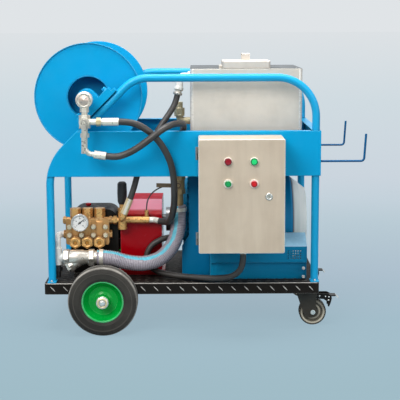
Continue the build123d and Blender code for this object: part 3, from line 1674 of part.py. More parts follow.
# Gauge needle
with BuildPart() as gauge_needle:
    pointer = Plane(
        origin=(gauge_x, dial_y - 0.8, gauge_z),
        x_dir=(cos(radians(needle_angle)), 0, sin(radians(needle_angle))),
        z_dir=(0, -1, 0),
    )
    with BuildSketch(pointer):
        with BuildLine():
            Polyline((-needle_tail, -1.6), (0, -1.6), (needle_length, -0.4), (needle_length, 0.4), (0, 1.6),
                     (-needle_tail, 1.6), close=True)
        make_face()
        Circle(4)
        Circle(1.4, mode=Mode.SUBTRACT)
    extrude(amount=1.0)
gauge_needle.part.label = "gauge_needle"
export_step(gauge_needle.part, "parts/gauge_needle.step")

# Unloader valve: body on the pump's right port, bypass elbow at the front, outlet to the right
unloader_start = head_x + head_width / 2 + 12
bypass_foot = Vector(unloader_x, unloader_y - 52, port_z + 10)
bypass_run = Vector(22, 0, 53).normalized()
bypass_tip = bypass_foot + bypass_run * 24
with BuildPart() as unloader_valve:
    rod(
        (unloader_start, unloader_y, port_z),
        (unloader_outlet_x - 24, unloader_y, port_z),
        unloader_body_radius - 3,
    )
    hex_bar((unloader_start + 4, unloader_y, port_z), (unloader_start + 16, unloader_y, port_z), 28)
    hex_bar((unloader_x + 24, unloader_y, port_z), (unloader_outlet_x - 24, unloader_y, port_z), 22)
    rod(
        (unloader_outlet_x - 24, unloader_y, port_z),
        (unloader_outlet_x, unloader_y, port_z),
        unloader_body_radius - 2,
    )
    rod(
        (switch_x, unloader_y, port_z),
        (switch_x, unloader_y, port_z + unloader_body_radius + switch_height),
        switch_radius,
    )
    rod(
        (unloader_x, unloader_y, port_z - 34),
        (unloader_x, unloader_y, port_z + 34),
        unloader_body_radius + 2,
    )
    hex_bar((unloader_x, unloader_y, port_z + 34), (unloader_x, unloader_y, port_z + 46), 30)
    rod(
        (unloader_x, unloader_y, port_z + 46),
        (unloader_x, unloader_y, unloader_top - running),
        knob_radius - 7,
    )
    rod(
        (unloader_x, unloader_y, unloader_top - running),
        (unloader_x, unloader_y, unloader_top + 30),
        knob_bore - running,
    )
    pipe(
        [(unloader_x, unloader_y, bypass_foot.Z), tuple(bypass_foot), tuple(bypass_tip)],
        unloader_body_radius - 4,
        12,
    )
unloader_valve.part.label = "unloader_valve"
export_step(unloader_valve.part, "parts/unloader_valve.step")

# Unloader knob: long tapered grip
with BuildPart() as unloader_knob:
    lathe(
        [
            (0, knob_bore),
            (0, knob_radius - 5),
            (10, knob_radius - 1),
            (knob_height / 2, knob_radius),
            (knob_height - 8, knob_radius - 1),
            (knob_height - 2, knob_radius - 5),
            (knob_height, knob_radius - 9),
            (knob_height, 0),
            (31, 0),
            (31, knob_bore),
        ],
        (unloader_x, unloader_y, unloader_top),
        (0, 0, 1),
    )
unloader_knob.part.label = "unloader_knob"
export_step(unloader_knob.part, "parts/unloader_knob.step")

# White plastic fittings: return elbow on the tank and the suction tee with its riser
with BuildPart() as plastic_fittings:
    pipe(
        [
            (tank_x0, return_knee.Y, return_z),
            (return_knee.X, return_knee.Y, return_z),
            tuple(return_knee),
            tuple(return_tip),
        ],
        manifold_pipe + 3,
        manifold_pipe + 6,
    )
    rod((tank_x0, return_knee.Y, return_z), (tank_x0 - 8, return_knee.Y, return_z), manifold_pipe + 8)
    rod(tuple(return_tip), tuple(return_tip + return_run * 10), manifold_pipe + 6)
    inlet_x = head_x - port_half + 2
    pipe(
        [
            (suction_tee_x, strainer_y, strainer_z - 34),
            (suction_tee_x, strainer_y, inlet_z),
            (suction_tee_x, port_y, inlet_z),
            (inlet_x, port_y, inlet_z),
        ],
        tee_radius - 5,
        tee_radius - 3,
    )
    rod(
        (suction_tee_x, strainer_y, strainer_z - 26),
        (suction_tee_x, strainer_y, strainer_z + 36),
        tee_radius,
    )
    rod((suction_tee_x, strainer_y, strainer_z), (strainer_x0, strainer_y, strainer_z), tee_radius)
    rod(
        (suction_tee_x, strainer_y, strainer_z - 74),
        (suction_tee_x, strainer_y, strainer_z - 34),
        tee_radius - 6,
    )
    hex_bar((suction_tee_x, strainer_y, strainer_z - 50), (suction_tee_x, strainer_y, strainer_z - 34), 30)
plastic_fittings.part.label = "plastic_fittings"
export_step(plastic_fittings.part, "parts/plastic_fittings.step")

# Y-strainer with a slanted leg and end nuts
with BuildPart() as y_strainer:
    rod((strainer_x0, strainer_y, strainer_z), (strainer_x1, strainer_y, strainer_z), strainer_radius - 3)
    for nut_x in (strainer_x0, strainer_x1 - 20):
        hex_bar(
            (nut_x, strainer_y, strainer_z),
            (nut_x + 20, strainer_y, strainer_z),
            2 * strainer_radius + 1,
        )
    leg_x = strainer_x1 - 36
    leg_turn = radians(208)
    leg_end = (leg_x + strainer_leg * cos(leg_turn), strainer_y, strainer_z + strainer_leg * sin(leg_turn))
    cap_reach = strainer_leg + 14
    leg_cap = (leg_x + cap_reach * cos(leg_turn), strainer_y, strainer_z + cap_reach * sin(leg_turn))
    rod((leg_x, strainer_y, strainer_z), leg_end, strainer_radius - 5)
    hex_bar(leg_end, leg_cap, 2 * strainer_radius - 4)
    rod(
        (strainer_x1, strainer_y, strainer_z),
        (strainer_x1 + 12, strainer_y, strainer_z),
        suction_hose_d / 2 - 4,
    )
y_strainer.part.label = "y_strainer"
export_step(y_strainer.part, "parts/y_strainer.step")

# Hose routes, from fitting to fitting; the first and last runs lie along their ferrules
feed_ferrule = 56.0
feed_start = Vector(branch_end_x + feed_ferrule, swivel_y, valve_z)
feed_elbow = Vector(unloader_outlet_x + 16, unloader_y, port_z)
feed_run = Vector(0.86, -0.5, -0.1).normalized()
feed_end = feed_elbow + feed_run * 24
feed_points = [
    tuple(feed_start),
    (deck_x - 186, swivel_y, valve_z),
    (deck_x - 150, deck_y - 360, valve_z - 10),
    (deck_x - 114, deck_y - 349, valve_z - 33),
    (deck_x - 79, deck_y - 337, valve_z - 68),
    (deck_x - 52, deck_y - 326, valve_z - 112),
    (deck_x - 35, deck_y - 317, valve_z - 155),
    (deck_x - 27, deck_y - 309, valve_z - 200),
    (deck_x - 25, deck_y - 297, valve_z - 244),
    (deck_x - 25, deck_y - 276, port_z + 94),
    (deck_x - 29, deck_y - 254, port_z + 50),
    (deck_x - 41, deck_y - 230, port_z + 6),
    tuple(feed_end + feed_run * 34),
    tuple(feed_end),
]
relief_ferrule = 42.0
manifold_run = Vector(31, 0, -4.5).normalized()
relief_start = Vector(*elbow_end) + manifold_run * relief_ferrule
relief_points = [
    tuple(relief_start),
    tuple(relief_start + manifold_run * 32),
    (deck_x - 198, deck_y - 367, panel_top - 75),
    (deck_x - 162, deck_y - 369, panel_top - 58),
    (deck_x - 126, deck_y - 372, panel_top - 33),
    (deck_x - 93, deck_y - 371, panel_top - 8),
    (deck_x - 62, deck_y - 358, panel_top + 15),
    (deck_x - 34, deck_y - 333, panel_top + 27),
    (deck_x - 10, deck_y - 301, panel_top + 29),
    (deck_x + 5, deck_y - 264, panel_top + 26),
    (deck_x + 9, deck_y - 229, panel_top + 17),
    (deck_x + 8, deck_y - 202, panel_top),
    tuple(relief_mouth + relief_run * 26),
    tuple(relief_mouth),
]
bypass_ferrule = 60.0
bypass_start = bypass_tip + bypass_run * bypass_ferrule
bypass_points = [
    tuple(bypass_start),
    tuple(bypass_start + bypass_run * 34),
    (deck_x - 161, deck_y - 213, port_z + 178),
    (deck_x - 138, deck_y - 201, port_z + 244),
    (deck_x - 103, deck_y - 188, tank_top - 251),
    (deck_x - 66, deck_y - 174, tank_top - 195),
    (deck_x - 34, deck_y - 162, tank_top - 150),
    tuple(return_mouth - return_run * 24),
    tuple(return_mouth),
]
suction_points = [
    (outlet_x, outlet_y, outlet_end_z),
    (outlet_x, outlet_y, outlet_end_z - 48),
    (deck_x - 15, deck_y - 195, outlet_end_z - 101),
    (deck_x - 35, deck_y - 209, outlet_end_z - 153),
    (deck_x - 80, deck_y - 225, strainer_z - 13),
    (deck_x - 142, deck_y - 237, strainer_z - 28),
    (deck_x - 208, deck_y - 242, strainer_z - 19),
    (strainer_x1 + 60, strainer_y, strainer_z),
    (strainer_x1 + 12, strainer_y, strainer_z),
]
conduit_points = [
    (box_gland_x, box_gland_y, box_bottom - gland_length),
    (box_gland_x, box_gland_y, box_bottom - gland_length - 34),
    (deck_x + 208, deck_y - 362, deck_top + 56),
    (deck_x + 178, deck_y - 342, deck_top + 31),
    (deck_x + 132, deck_y - 312, deck_top + 20),
    (deck_x + 78, deck_y - 284, deck_top + 15),
    (deck_x + 22, deck_y - 258, deck_top + 13),
    (deck_x - 34, deck_y - 232, deck_top + 13),
    (deck_x - 86, deck_y - 204, deck_top + 18),
    (deck_x - 122, deck_y - 186, deck_top + 36),
    (deck_x - 136, deck_y - 178, deck_top + 73),
    (deck_x - 118, deck_y - 174, motor_z - 71),
    (deck_x - 80, deck_y - 168, motor_z - 48),
    tuple(motor_gland - motor_gland_run * 33),
    tuple(motor_gland),
]
cable_start = (switch_x, unloader_y, port_z + unloader_body_radius + switch_height)
cable_points = [
    cable_start,
    (switch_x, unloader_y, cable_start[2] + 20),
    (deck_x - 124, deck_y - 164, motor_z + 107),
    (deck_x - 108, deck_y - 150, motor_z + 128),
    (deck_x - 84, deck_y - 128, motor_z + 140),
    (deck_x - 60, deck_y - 101, motor_z + 144),
    (deck_x - 41, deck_y - 82, motor_z + 140),
    tuple(cable_end - cable_run * 24),
    tuple(cable_end),
]

# Crimped ferrules on the hose ends and screw clamps on the suction hose
with BuildPart() as hose_ferrules:
    sleeve = pressure_hose / 2 + ferrule_wall
    bypass_sleeve = bypass_hose_d / 2 + ferrule_wall
    rod((branch_end_x, swivel_y, valve_z), tuple(feed_start), sleeve)
    rod(elbow_end, tuple(relief_start), sleeve)
    rod(tuple(relief_tip), tuple(relief_mouth), sleeve)
    rod(tuple(bypass_tip), tuple(bypass_start), bypass_sleeve)
    rod(tuple(return_tip), tuple(return_mouth), bypass_sleeve)
    pipe(
        [tuple(feed_end), tuple(feed_elbow), (unloader_outlet_x, unloader_y, port_z)],
        sleeve - 3,
        sleeve - 2,
    )
    for clamp_at, clamp_along in (
        (Vector(outlet_x, outlet_y, outlet_end_z - 22), Vector(0, 0, 1)),
        (Vector(strainer_x1 + 34, strainer_y, strainer_z), Vector(-1, 0, 0)),
    ):
        with BuildSketch(Plane(origin=clamp_at, z_dir=clamp_along)):
            Circle(suction_hose_d / 2 + seat + clamp_thick)
            Circle(suction_hose_d / 2 + seat, mode=Mode.SUBTRACT)
        extrude(amount=clamp_width)
hose_ferrules.part.label = "hose_ferrules"
export_step(hose_ferrules.part, "parts/hose_ferrules.step")

for label, route_points, hose_d in (
    ("feed_hose", feed_points, pressure_hose),
    ("relief_hose", relief_points, pressure_hose),
    ("bypass_hose", bypass_points, bypass_hose_d),
    ("suction_hose", suction_points, suction_hose_d),
    ("power_conduit", conduit_points, conduit_d),
    ("switch_cable", cable_points, switch_cable_d),
):
    with BuildPart() as hose:
        hose_length = lay_hose(route_points, hose_d)
    hose.part.label = label
    export_step(hose.part, f"parts/{label}.step")
    tube_volume = pi * hose_d ** 2 / 4 * hose_length
    print(label, "length", round(hose_length), "volume ratio", round(hose.part.volume / tube_volume, 4),
          "radii", [round(bend) for bend in hose_bends(route_points)])
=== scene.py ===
import json
from math import cos, hypot, pi, radians, sin

import bmesh
import bpy
from mathutils import Matrix, Vector


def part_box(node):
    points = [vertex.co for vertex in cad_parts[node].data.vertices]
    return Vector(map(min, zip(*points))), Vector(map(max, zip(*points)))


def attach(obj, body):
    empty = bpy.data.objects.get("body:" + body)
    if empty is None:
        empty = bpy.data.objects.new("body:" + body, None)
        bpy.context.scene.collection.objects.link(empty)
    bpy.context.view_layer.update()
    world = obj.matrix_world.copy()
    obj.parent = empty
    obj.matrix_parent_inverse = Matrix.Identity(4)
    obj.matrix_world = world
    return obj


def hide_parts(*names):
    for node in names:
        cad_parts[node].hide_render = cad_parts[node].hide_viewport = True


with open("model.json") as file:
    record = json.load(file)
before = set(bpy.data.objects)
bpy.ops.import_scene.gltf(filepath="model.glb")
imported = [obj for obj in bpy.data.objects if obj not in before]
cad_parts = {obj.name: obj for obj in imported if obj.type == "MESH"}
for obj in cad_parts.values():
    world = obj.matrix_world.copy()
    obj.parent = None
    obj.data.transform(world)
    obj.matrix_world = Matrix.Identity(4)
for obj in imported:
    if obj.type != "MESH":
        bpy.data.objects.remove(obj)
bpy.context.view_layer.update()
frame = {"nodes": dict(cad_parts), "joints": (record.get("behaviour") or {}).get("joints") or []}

scene = bpy.context.scene
scene.view_settings.view_transform = "Standard"
nodes = frame["nodes"]

# Camera: in front of the control box, a little above the tank, looking slightly down
CAMERA_AT = (-0.0122, -4.1906, 1.0985)
PITCH, YAW, ROLL = 0.15577, 0.00268, 0.004
lens = bpy.data.cameras.new("camera")
lens.sensor_width = 36.0
lens.lens = 99.5
camera = bpy.data.objects.new("camera", lens)
level = Matrix.Rotation(-YAW, 4, "Z") @ Matrix.Rotation(pi / 2 - PITCH, 4, "X")
turn = level @ Matrix.Rotation(-ROLL, 4, "Z")
camera.matrix_world = Matrix.Translation(CAMERA_AT) @ turn
scene.collection.objects.link(camera)
scene.camera = camera


def middle(node):
    """Middle of a node's box."""
    low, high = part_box(node)
    return (low + high) / 2


# Places from the frame's joints and boxes, in metres
pivots = {joint["name"]: joint["pos_m"] for joint in frame["joints"] if "pos_m" in joint}
DECK_LOW, DECK_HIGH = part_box("deck_tray")
DECK_TOP = DECK_HIGH.z
NEAR_Y, FAR_Y = middle("near_side_frame").y, middle("far_side_frame").y
REEL_X, _, REEL_Z = pivots["reel_spin"]
AXLE_X, NEAR_TRACK, WHEEL_R = pivots["near_wheel_spin"]
FAR_TRACK = pivots["far_wheel_spin"][1]
CART_Y = (NEAR_TRACK + FAR_TRACK) / 2
HALF_TRACK = (FAR_TRACK - NEAR_TRACK) / 2
CASTER_X, _, CASTER_R = pivots["near_caster_roll"]
CASTER_Y = {side: pivots[side + "_caster_roll"][1] for side in ("near", "far")}
GAUGE = Vector(pivots["gauge_sweep"])
KNOB_X, KNOB_Y, _ = pivots["unloader_turn"]
BUTTONS = [(middle(name).x, middle(name).z) for name in ("start_button", "stop_button")]
BUTTON_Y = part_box("start_button")[0].y
LAMPS = [(x, middle("pilot_lamps").z) for x, _ in BUTTONS]
DOOR_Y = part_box("pilot_lamps")[1].y
LOCK_X, _, LOCK_Z = pivots["lock_turn"]
LOCK_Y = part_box("door_lock")[0].y
SKIRT_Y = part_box("motor_skirt")[0].y
CAP_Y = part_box("valve_caps")[0].y
HEAD_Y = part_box("head_bolts")[1].y

# Places inside the nodes, which their boxes don't give
LEFT_POST, RIGHT_POST, HOOK_Z = -0.542, 0.415, 0.618
RAIL_SLOPE = 0.78377
SLANT = Vector((cos(RAIL_SLOPE), 0, sin(RAIL_SLOPE)))
SLANT_UP = Vector((-SLANT.z, 0, SLANT.x))
PLUNGER_PITCH, CAP_Z = 0.0445, 0.310
CAPS = [(middle("pump_head").x + k * PLUNGER_PITCH, CAP_Z) for k in (-1, 0, 1)]
STRAINER = Vector((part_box("y_strainer")[0].x, middle("y_strainer").y, 0.262))
SWIVEL_Y = -0.349
BROW_FOOT, BROW_FADE = 0.417, 0.007
COLLAR_X = 0.346

# Directions
ALONG = Vector((1, 0, 0))
TO_NEAR = Vector((0, -1, 0))
UP = Vector((0, 0, 1))


def srgb(r, g, b):
    """Colour of a screen value, 0 to 255, as the shader wants it."""
    linear = []
    for v in (r, g, b):
        c = v / 255
        linear.append(c / 12.92 if c <= 0.04045 else ((c + 0.055) / 1.055) ** 2.4)
    return (*linear, 1.0)


def times(colour, k):
    """Colour made darker or lighter."""
    return (*[min(1.0, k * c) for c in colour[:3]], 1.0)


class Shade:
    """A material's node tree, with short ways to add to it."""

    def __init__(self, name, colour, roughness=0.5, metallic=0.0, coat=0.0, specular=0.5):
        self.material = bpy.data.materials.new(name)
        self.material.use_nodes = True
        self.tree = self.material.node_tree
        self.bsdf = self.tree.nodes["Principled BSDF"]
        self.set(self.bsdf, **{"Base Color": colour, "Roughness": roughness, "Metallic": metallic,
                               "Coat Weight": coat, "Coat Roughness": 0.12, "Specular IOR Level": specular})
        self.place = self.add("ShaderNodeTexCoord").outputs["Object"]

    def set(self, node, **values):
        for key, value in values.items():
            self.put(node.inputs[key], value)

    def put(self, socket, value):
        if isinstance(value, bpy.types.NodeSocket):
            self.tree.links.new(value, socket)
        else:
            socket.default_value = value

    def add(self, kind, **values):
        node = self.tree.nodes.new(kind)
        self.set(node, **values)
        return node

    def math(self, operation, a, b=0.0, clamp=False):
        node = self.add("ShaderNodeMath")
        node.operation = operation
        node.use_clamp = clamp
        for socket, value in zip(node.inputs, (a, b)):
            self.put(socket, value)
        return node.outputs[0]

    def axes(self):
        """X, Y and Z of the place."""
        return self.add("ShaderNodeSeparateXYZ", Vector=self.place).outputs

    def stretch(self, scale):
        return self.add("ShaderNodeMapping", Vector=self.place, Scale=scale).outputs[0]

    def noise(self, scale, detail=3.0, rough=0.5, place=None):
        node = self.add("ShaderNodeTexNoise", Vector=place or self.place, Scale=scale, Detail=detail)
        self.set(node, Roughness=rough)
        return node.outputs["Fac"]

    def span(self, value, low, high, to_low=0.0, to_high=1.0):
        node = self.add("ShaderNodeMapRange", Value=value)
        for key, number in (("From Min", low), ("From Max", high), ("To Min", to_low), ("To Max", to_high)):
            node.inputs[key].default_value = number
        return node.outputs[0]

    def band(self, value, start, full, last, end):
        """1 from full to last, fading to 0 at the start and the end."""
        return self.math("MULTIPLY", self.span(value, start, full), self.span(value, end, last))

    def mix(self, fac, a, b, how="MIX"):
        node = self.add("ShaderNodeMix")
        node.data_type = "RGBA"
        node.blend_type = how
        for socket, value in zip((node.inputs[0], node.inputs[6], node.inputs[7]), (fac, a, b)):
            self.put(socket, value)
        return node.outputs[2]

    def round(self, x, z):
        """Distance from, and turn about, an axis along Y at x, z."""
        at = self.axes()
        east = self.math("SUBTRACT", at["X"], x)
        rise = self.math("SUBTRACT", at["Z"], z)
        squares = self.math("ADD", self.math("MULTIPLY", east, east), self.math("MULTIPLY", rise, rise))
        return self.math("SQRT", squares), self.math("ARCTAN2", rise, east)

    def soft(self, radius):
        """The normal, rounded over the edges."""
        node = self.add("ShaderNodeBevel", Radius=radius)
        node.samples = 4
        return node.outputs[0]

    def edge(self, radius, gain=6.0):
        """1 on an edge and 0 on a flat, and the softened normal."""
        soft = self.soft(radius)
        dot = self.add("ShaderNodeVectorMath")
        dot.operation = "DOT_PRODUCT"
        self.put(dot.inputs[0], soft)
        self.put(dot.inputs[1], self.add("ShaderNodeNewGeometry").outputs["Normal"])
        away = self.math("SUBTRACT", 1.0, dot.outputs["Value"])
        return self.math("MULTIPLY", away, gain, clamp=True), soft

    def hollow(self, reach):
        """Painted shade: 1 in a recess or close corner and 0 in the open."""
        level = self.add("ShaderNodeNewGeometry").outputs["True Normal"]
        node = self.add("ShaderNodeAmbientOcclusion", Distance=reach, Normal=level)
        node.samples = 6
        return self.span(node.outputs["AO"], 0.85, 0.3)

    def bump(self, height, strength=0.3, distance=0.001, normal=None):
        node = self.add("ShaderNodeBump", Height=height, Strength=strength, Distance=distance)
        if normal:
            self.put(node.inputs["Normal"], normal)
        self.put(self.bsdf.inputs["Normal"], node.outputs[0])

    def peel(self, soft):
        """Slight orange peel of sprayed paint."""
        self.bump(self.noise(420.0, 2.0), 0.1, 0.0004, soft)

    def colour(self, value):
        self.put(self.bsdf.inputs["Base Color"], value)

    def roughness(self, value):
        self.put(self.bsdf.inputs["Roughness"], value)


# Width of the lightened edges of sheet metal: wear and painted highlight
EDGE = 0.0035


def paint(name, colour, edge_wear_and_highlight, roughness=0.34, coat=0.0, specular=0.25, edge_size=EDGE, hollow=0.02,
          painted_shade_strength=0.6):
    """Sprayed enamel: slight orange peel, cloudy gloss, thin light edges of wear and painted highlight, and
    painted shade in recesses and close corners.
    """
    s = Shade(name, colour, roughness, 0.0, coat, specular)
    shade = s.mix(s.span(s.noise(5.0, 4.0), 0.35, 0.7, 0.0, 0.14), colour, times(colour, 0.75))
    # Painted shade in recesses and close corners
    shade = s.mix(s.math("MULTIPLY", s.hollow(hollow), painted_shade_strength), shade, times(colour, 0.3))
    # Light edges: wear and painted highlight
    edge_wear_and_highlight_mask, soft = s.edge(edge_size)
    broken = s.span(s.noise(60.0, 2.0), 0.35, 0.6, 0.4, 1.0)
    s.colour(s.mix(s.math("MULTIPLY", edge_wear_and_highlight_mask, broken), shade, edge_wear_and_highlight))
    s.roughness(s.span(s.noise(24.0, 5.0), 0.3, 0.75, roughness - 0.06, roughness + 0.12))
    s.peel(soft)
    return s.material


def brow_paint():
    """Gear case brow: painted highlight, a light red that runs into the deep red of the front at its foot."""
    light = srgb(242, 142, 166)
    s = Shade("red_brow_painted_highlight", light, 0.24, 0.0, 0.0, 0.15)
    foot = s.span(s.axes()["Z"], BROW_FOOT, BROW_FOOT + BROW_FADE)
    s.colour(s.mix(foot, srgb(176, 0, 16), light))
    s.peel(s.soft(EDGE))
    return s.material


def sheet(name, colour, dull, roughness=0.4, metallic=0.45, grain=(40.0, 40.0, 900.0),
          smear=(26.0, 26.0, 2.5), amount=0.3, mottle=16.0, specular=0.5, edge_size=EDGE):
    """Stainless sheet: soft smears and mottling, fine rolling lines and edges lightened with painted
    highlight.
    """
    s = Shade(name, colour, roughness, metallic, 0.0, specular)
    tone = s.mix(s.span(s.noise(mottle, 5.0, 0.6), 0.42, 0.7, 0.0, amount), colour, dull)
    long = s.noise(1.0, 3.0, 0.55, s.stretch(smear))
    tone = s.mix(s.span(long, 0.45, 0.75, 0.0, amount), tone, dull)
    lines = s.noise(1.0, 2.0, 0.5, s.stretch(grain))
    edge, soft = s.edge(edge_size, 4.0)
    # Lighter edges: painted highlight
    s.colour(s.mix(s.math("MULTIPLY", edge, 0.8), tone, times(colour, 1.5)))
    s.roughness(s.span(s.math("ADD", lines, long), 0.7, 1.35, roughness - 0.08, roughness + 0.1))
    s.bump(lines, 0.05, 0.0003, soft)
    return s.material


def cast(name, colour, high, roughness=0.45, metallic=0.0, grain=260.0, strength=0.35, specular=0.5,
         edge_size=0.002):
    """Casting or forging: grainy skin, edges brightened with wear and painted highlight, painted shade in
    recesses.
    """
    s = Shade(name, colour, roughness, metallic, 0.0, specular)
    base = s.mix(s.span(s.noise(18.0, 5.0), 0.4, 0.75, 0.0, 0.4), colour, times(colour, 0.55))
    # Painted shade in recesses
    base = s.mix(s.math("MULTIPLY", s.hollow(0.015), 0.8), base, times(colour, 0.16))
    edge, soft = s.edge(edge_size)
    # Light edges: wear and painted highlight
    s.colour(s.mix(s.math("MULTIPLY", edge, 0.8), base, high))
    s.roughness(s.span(s.noise(70.0, 3.0), 0.3, 0.7, roughness - 0.1, roughness + 0.12))
    s.bump(s.noise(grain, 3.0), strength, 0.0006, soft)
    return s.material


def metal(name, colour, roughness=0.3, grain=0.03, metallic=0.7, painted_shade_strength=0.8):
    """Plated or turned metal with faint tool marks, dull patches, painted shade in recesses and edges
    lightened with painted highlight.
    """
    s = Shade(name, colour, roughness, metallic)
    tone = s.mix(s.span(s.noise(30.0, 3.0), 0.4, 0.75, 0.0, 0.35), colour, times(colour, 0.72))
    # Painted shade in recesses
    tone = s.mix(s.math("MULTIPLY", s.hollow(0.012), painted_shade_strength), tone, times(colour, 0.2))
    edge, soft = s.edge(0.0012)
    # Lighter edges: painted highlight
    s.colour(s.mix(s.math("MULTIPLY", edge, 0.6), tone, times(colour, 1.3)))
    s.roughness(s.span(s.noise(90.0, 4.0), 0.3, 0.7, roughness - 0.08, roughness + 0.16))
    s.bump(s.noise(600.0, 2.0), grain, 0.0003, soft)
    return s.material


def moulded(name, colour, roughness=0.4, grain=0.15, coat=0.0, scale=500.0, dusty=None, specular=0.4):
    """Moulded plastic or rubber with a fine skin."""
    s = Shade(name, colour, roughness, 0.0, coat, specular)
    dust = dusty or times(colour, 1.25)
    s.colour(s.mix(s.span(s.noise(12.0, 5.0), 0.42, 0.75, 0.0, 0.55), colour, dust))
    s.roughness(s.span(s.noise(40.0, 4.0), 0.3, 0.7, roughness - 0.07, roughness + 0.12))
    s.bump(s.noise(scale, 2.0), grain, 0.0004, s.soft(0.0012))
    return s.material


def tyre_rubber():
    """Tyre: fine grooves round the tread, cross cuts on the shoulder and dust on the edge."""
    s = Shade("tyre", srgb(40, 38, 37), 0.62, 0.0, 0.0, 0.2)
    far, around = s.round(AXLE_X, WHEEL_R)
    out = s.math("ABSOLUTE", s.math("SUBTRACT", s.axes()["Y"], CART_Y))
    aside = s.math("ABSOLUTE", s.math("SUBTRACT", out, HALF_TRACK))
    dust = s.span(s.noise(26.0, 5.0), 0.4, 0.7, 0.5, 1.0)
    dust = s.math("MULTIPLY", dust, s.span(aside, 0.012, 0.026, 0.25, 1.0))
    edge = s.span(far, WHEEL_R - 0.0055, WHEEL_R - 0.001, 0.0, 0.9)
    tone = s.mix(s.span(s.noise(9.0, 4.0), 0.4, 0.7, 0.0, 0.6), srgb(47, 45, 42), srgb(72, 69, 64))
    ring = s.band(far, 0.1035, 0.1045, 0.1065, 0.1075)
    tone = s.mix(s.math("MULTIPLY", ring, 0.5), tone, srgb(92, 88, 82))
    s.colour(s.mix(s.math("MULTIPLY", edge, dust), tone, srgb(198, 193, 184)))
    cuts = s.span(s.math("SINE", s.math("MULTIPLY", around, 60.0)), 0.6, 0.9)
    cuts = s.math("MULTIPLY", cuts, s.span(far, WHEEL_R - 0.016, WHEEL_R - 0.010))
    grooves = s.math("MULTIPLY", s.math("SINE", s.math("MULTIPLY", far, 1400.0)), 0.12)
    grain = s.math("MULTIPLY", s.noise(260.0, 3.0), 0.25)
    s.bump(s.math("ADD", s.math("ADD", cuts, grooves), grain), 0.5, 0.0012)
    return s.material


def cowl_paint():
    """Pale fan cowl whose straight collar is painted with the motor, in a blue lightened as painted light,
    with a dark band of painted shade where the two meet.
    """
    s = Shade("cowl_paint", srgb(196, 208, 202), 0.4, 0.0, 0.0, 0.3)
    streaks = s.span(s.noise(1.0, 3.0, 0.5, s.stretch((60.0, 12.0, 3.0))), 0.4, 0.7, 0.0, 0.6)
    tone = s.mix(streaks, srgb(250, 255, 252), srgb(222, 236, 230))
    along = s.axes()["X"]
    # Dark band where cowl and collar meet: painted shade
    tone = s.mix(s.span(along, COLLAR_X + 0.007, COLLAR_X), tone, srgb(8, 40, 58))
    # Collar blue, lighter than the motor's paint: painted light
    s.colour(s.mix(s.span(along, COLLAR_X, COLLAR_X - 0.002), tone, srgb(4, 146, 202)))
    s.peel(s.soft(0.003))
    return s.material


def caster_tyre():
    """Caster wheel: notched tread with painted shade in the notches, a pale band of painted highlight on its
    side, strongest low down, and a ring of painted highlight round the hub.
    """
    s = Shade("caster_rubber", srgb(96, 94, 90), 0.5, 0.0, 0.0, 0.4)
    far, around = s.round(CASTER_X, CASTER_R)
    tone = s.mix(s.span(s.noise(40.0, 4.0), 0.4, 0.7, 0.0, 0.6), srgb(84, 80, 70), srgb(126, 120, 104))
    # Pale band on the side, strongest low down: painted highlight
    low = s.span(s.axes()["Z"], 0.068, 0.03, 0.25, 1.0)
    pale = s.math("MULTIPLY", s.band(far, 0.0375, 0.0390, 0.0430, 0.0445), low)
    tone = s.mix(pale, tone, srgb(204, 198, 180))
    tone = s.mix(s.span(far, 0.034, 0.033), tone, srgb(78, 74, 64))
    # Light ring round the hub: painted highlight
    ring = s.band(far, 0.0225, 0.0245, 0.0285, 0.0300)
    tone = s.mix(s.math("MULTIPLY", ring, 0.8), tone, srgb(196, 190, 172))
    lugs = s.span(s.math("SINE", s.math("MULTIPLY", around, 30.0)), -0.1, 0.4)
    tread = s.span(far, 0.0452, 0.0462)
    # Dark between the lugs: painted shade in the notches
    s.colour(s.mix(s.math("MULTIPLY", tread, s.math("SUBTRACT", 1.0, lugs)), tone, srgb(22, 20, 18)))
    s.bump(s.math("MULTIPLY", lugs, tread), 0.9, 0.0025)
    return s.material


def knob_grip():
    """Black grip with ribs along it."""
    s = Shade("knob_black", srgb(30, 30, 31), 0.4, 0.0, 0.0, 0.5)
    s.colour(s.mix(s.span(s.noise(30.0, 4.0), 0.4, 0.7, 0.0, 0.6), srgb(28, 28, 29), srgb(52, 52, 54)))
    at = s.axes()
    around = s.math("ARCTAN2", s.math("SUBTRACT", at["Y"], KNOB_Y), s.math("SUBTRACT", at["X"], KNOB_X))
    s.bump(s.span(s.math("SINE", s.math("MULTIPLY", around, 24.0)), -0.3, 0.6), 0.7, 0.0015)
    return s.material


BLUE = paint("blue_paint", srgb(0, 161, 217), srgb(84, 198, 240), specular=0.2)
# Slightly lighter copy of the blue paint for the tubes: painted highlight
LIT_TUBE_BLUE = paint("tube_blue_lit", srgb(10, 167, 221), srgb(84, 198, 240), specular=0.35, edge_size=0.001)
# Darker copy of the blue paint for the reel's drum, with strong painted shade in its recess
SHADED_REEL_BLUE = paint("reel_blue_shade", srgb(0, 140, 196), srgb(70, 180, 225), specular=0.12, hollow=0.16, painted_shade_strength=0.42)
# Darker copy of the blue paint for the skirt: painted shade
SHADED_SKIRT = paint("skirt_blue_shade", srgb(0, 142, 190), srgb(96, 190, 228), specular=0.2)
# Pale blue on the skirt's brow: painted reflection
SKIRT_BROW_REFLECTION = paint("skirt_brow_reflection", srgb(172, 226, 254), srgb(214, 240, 252), 0.24, 0.2, 0.4)
# Darker copy of the blue paint for the tank supports: painted shade
SHADED_COLUMN = paint("column_blue_shade", srgb(0, 116, 164), srgb(60, 160, 205), specular=0.15)
# Darker copy of the blue paint for the hooks: painted shade
SHADED_HOOK = paint("hook_blue_shade", srgb(6, 84, 134), srgb(60, 150, 200), specular=0.2)
GREEN = paint("green_rim", srgb(0, 166, 62), srgb(96, 215, 130), 0.26, 0.08, 0.2)
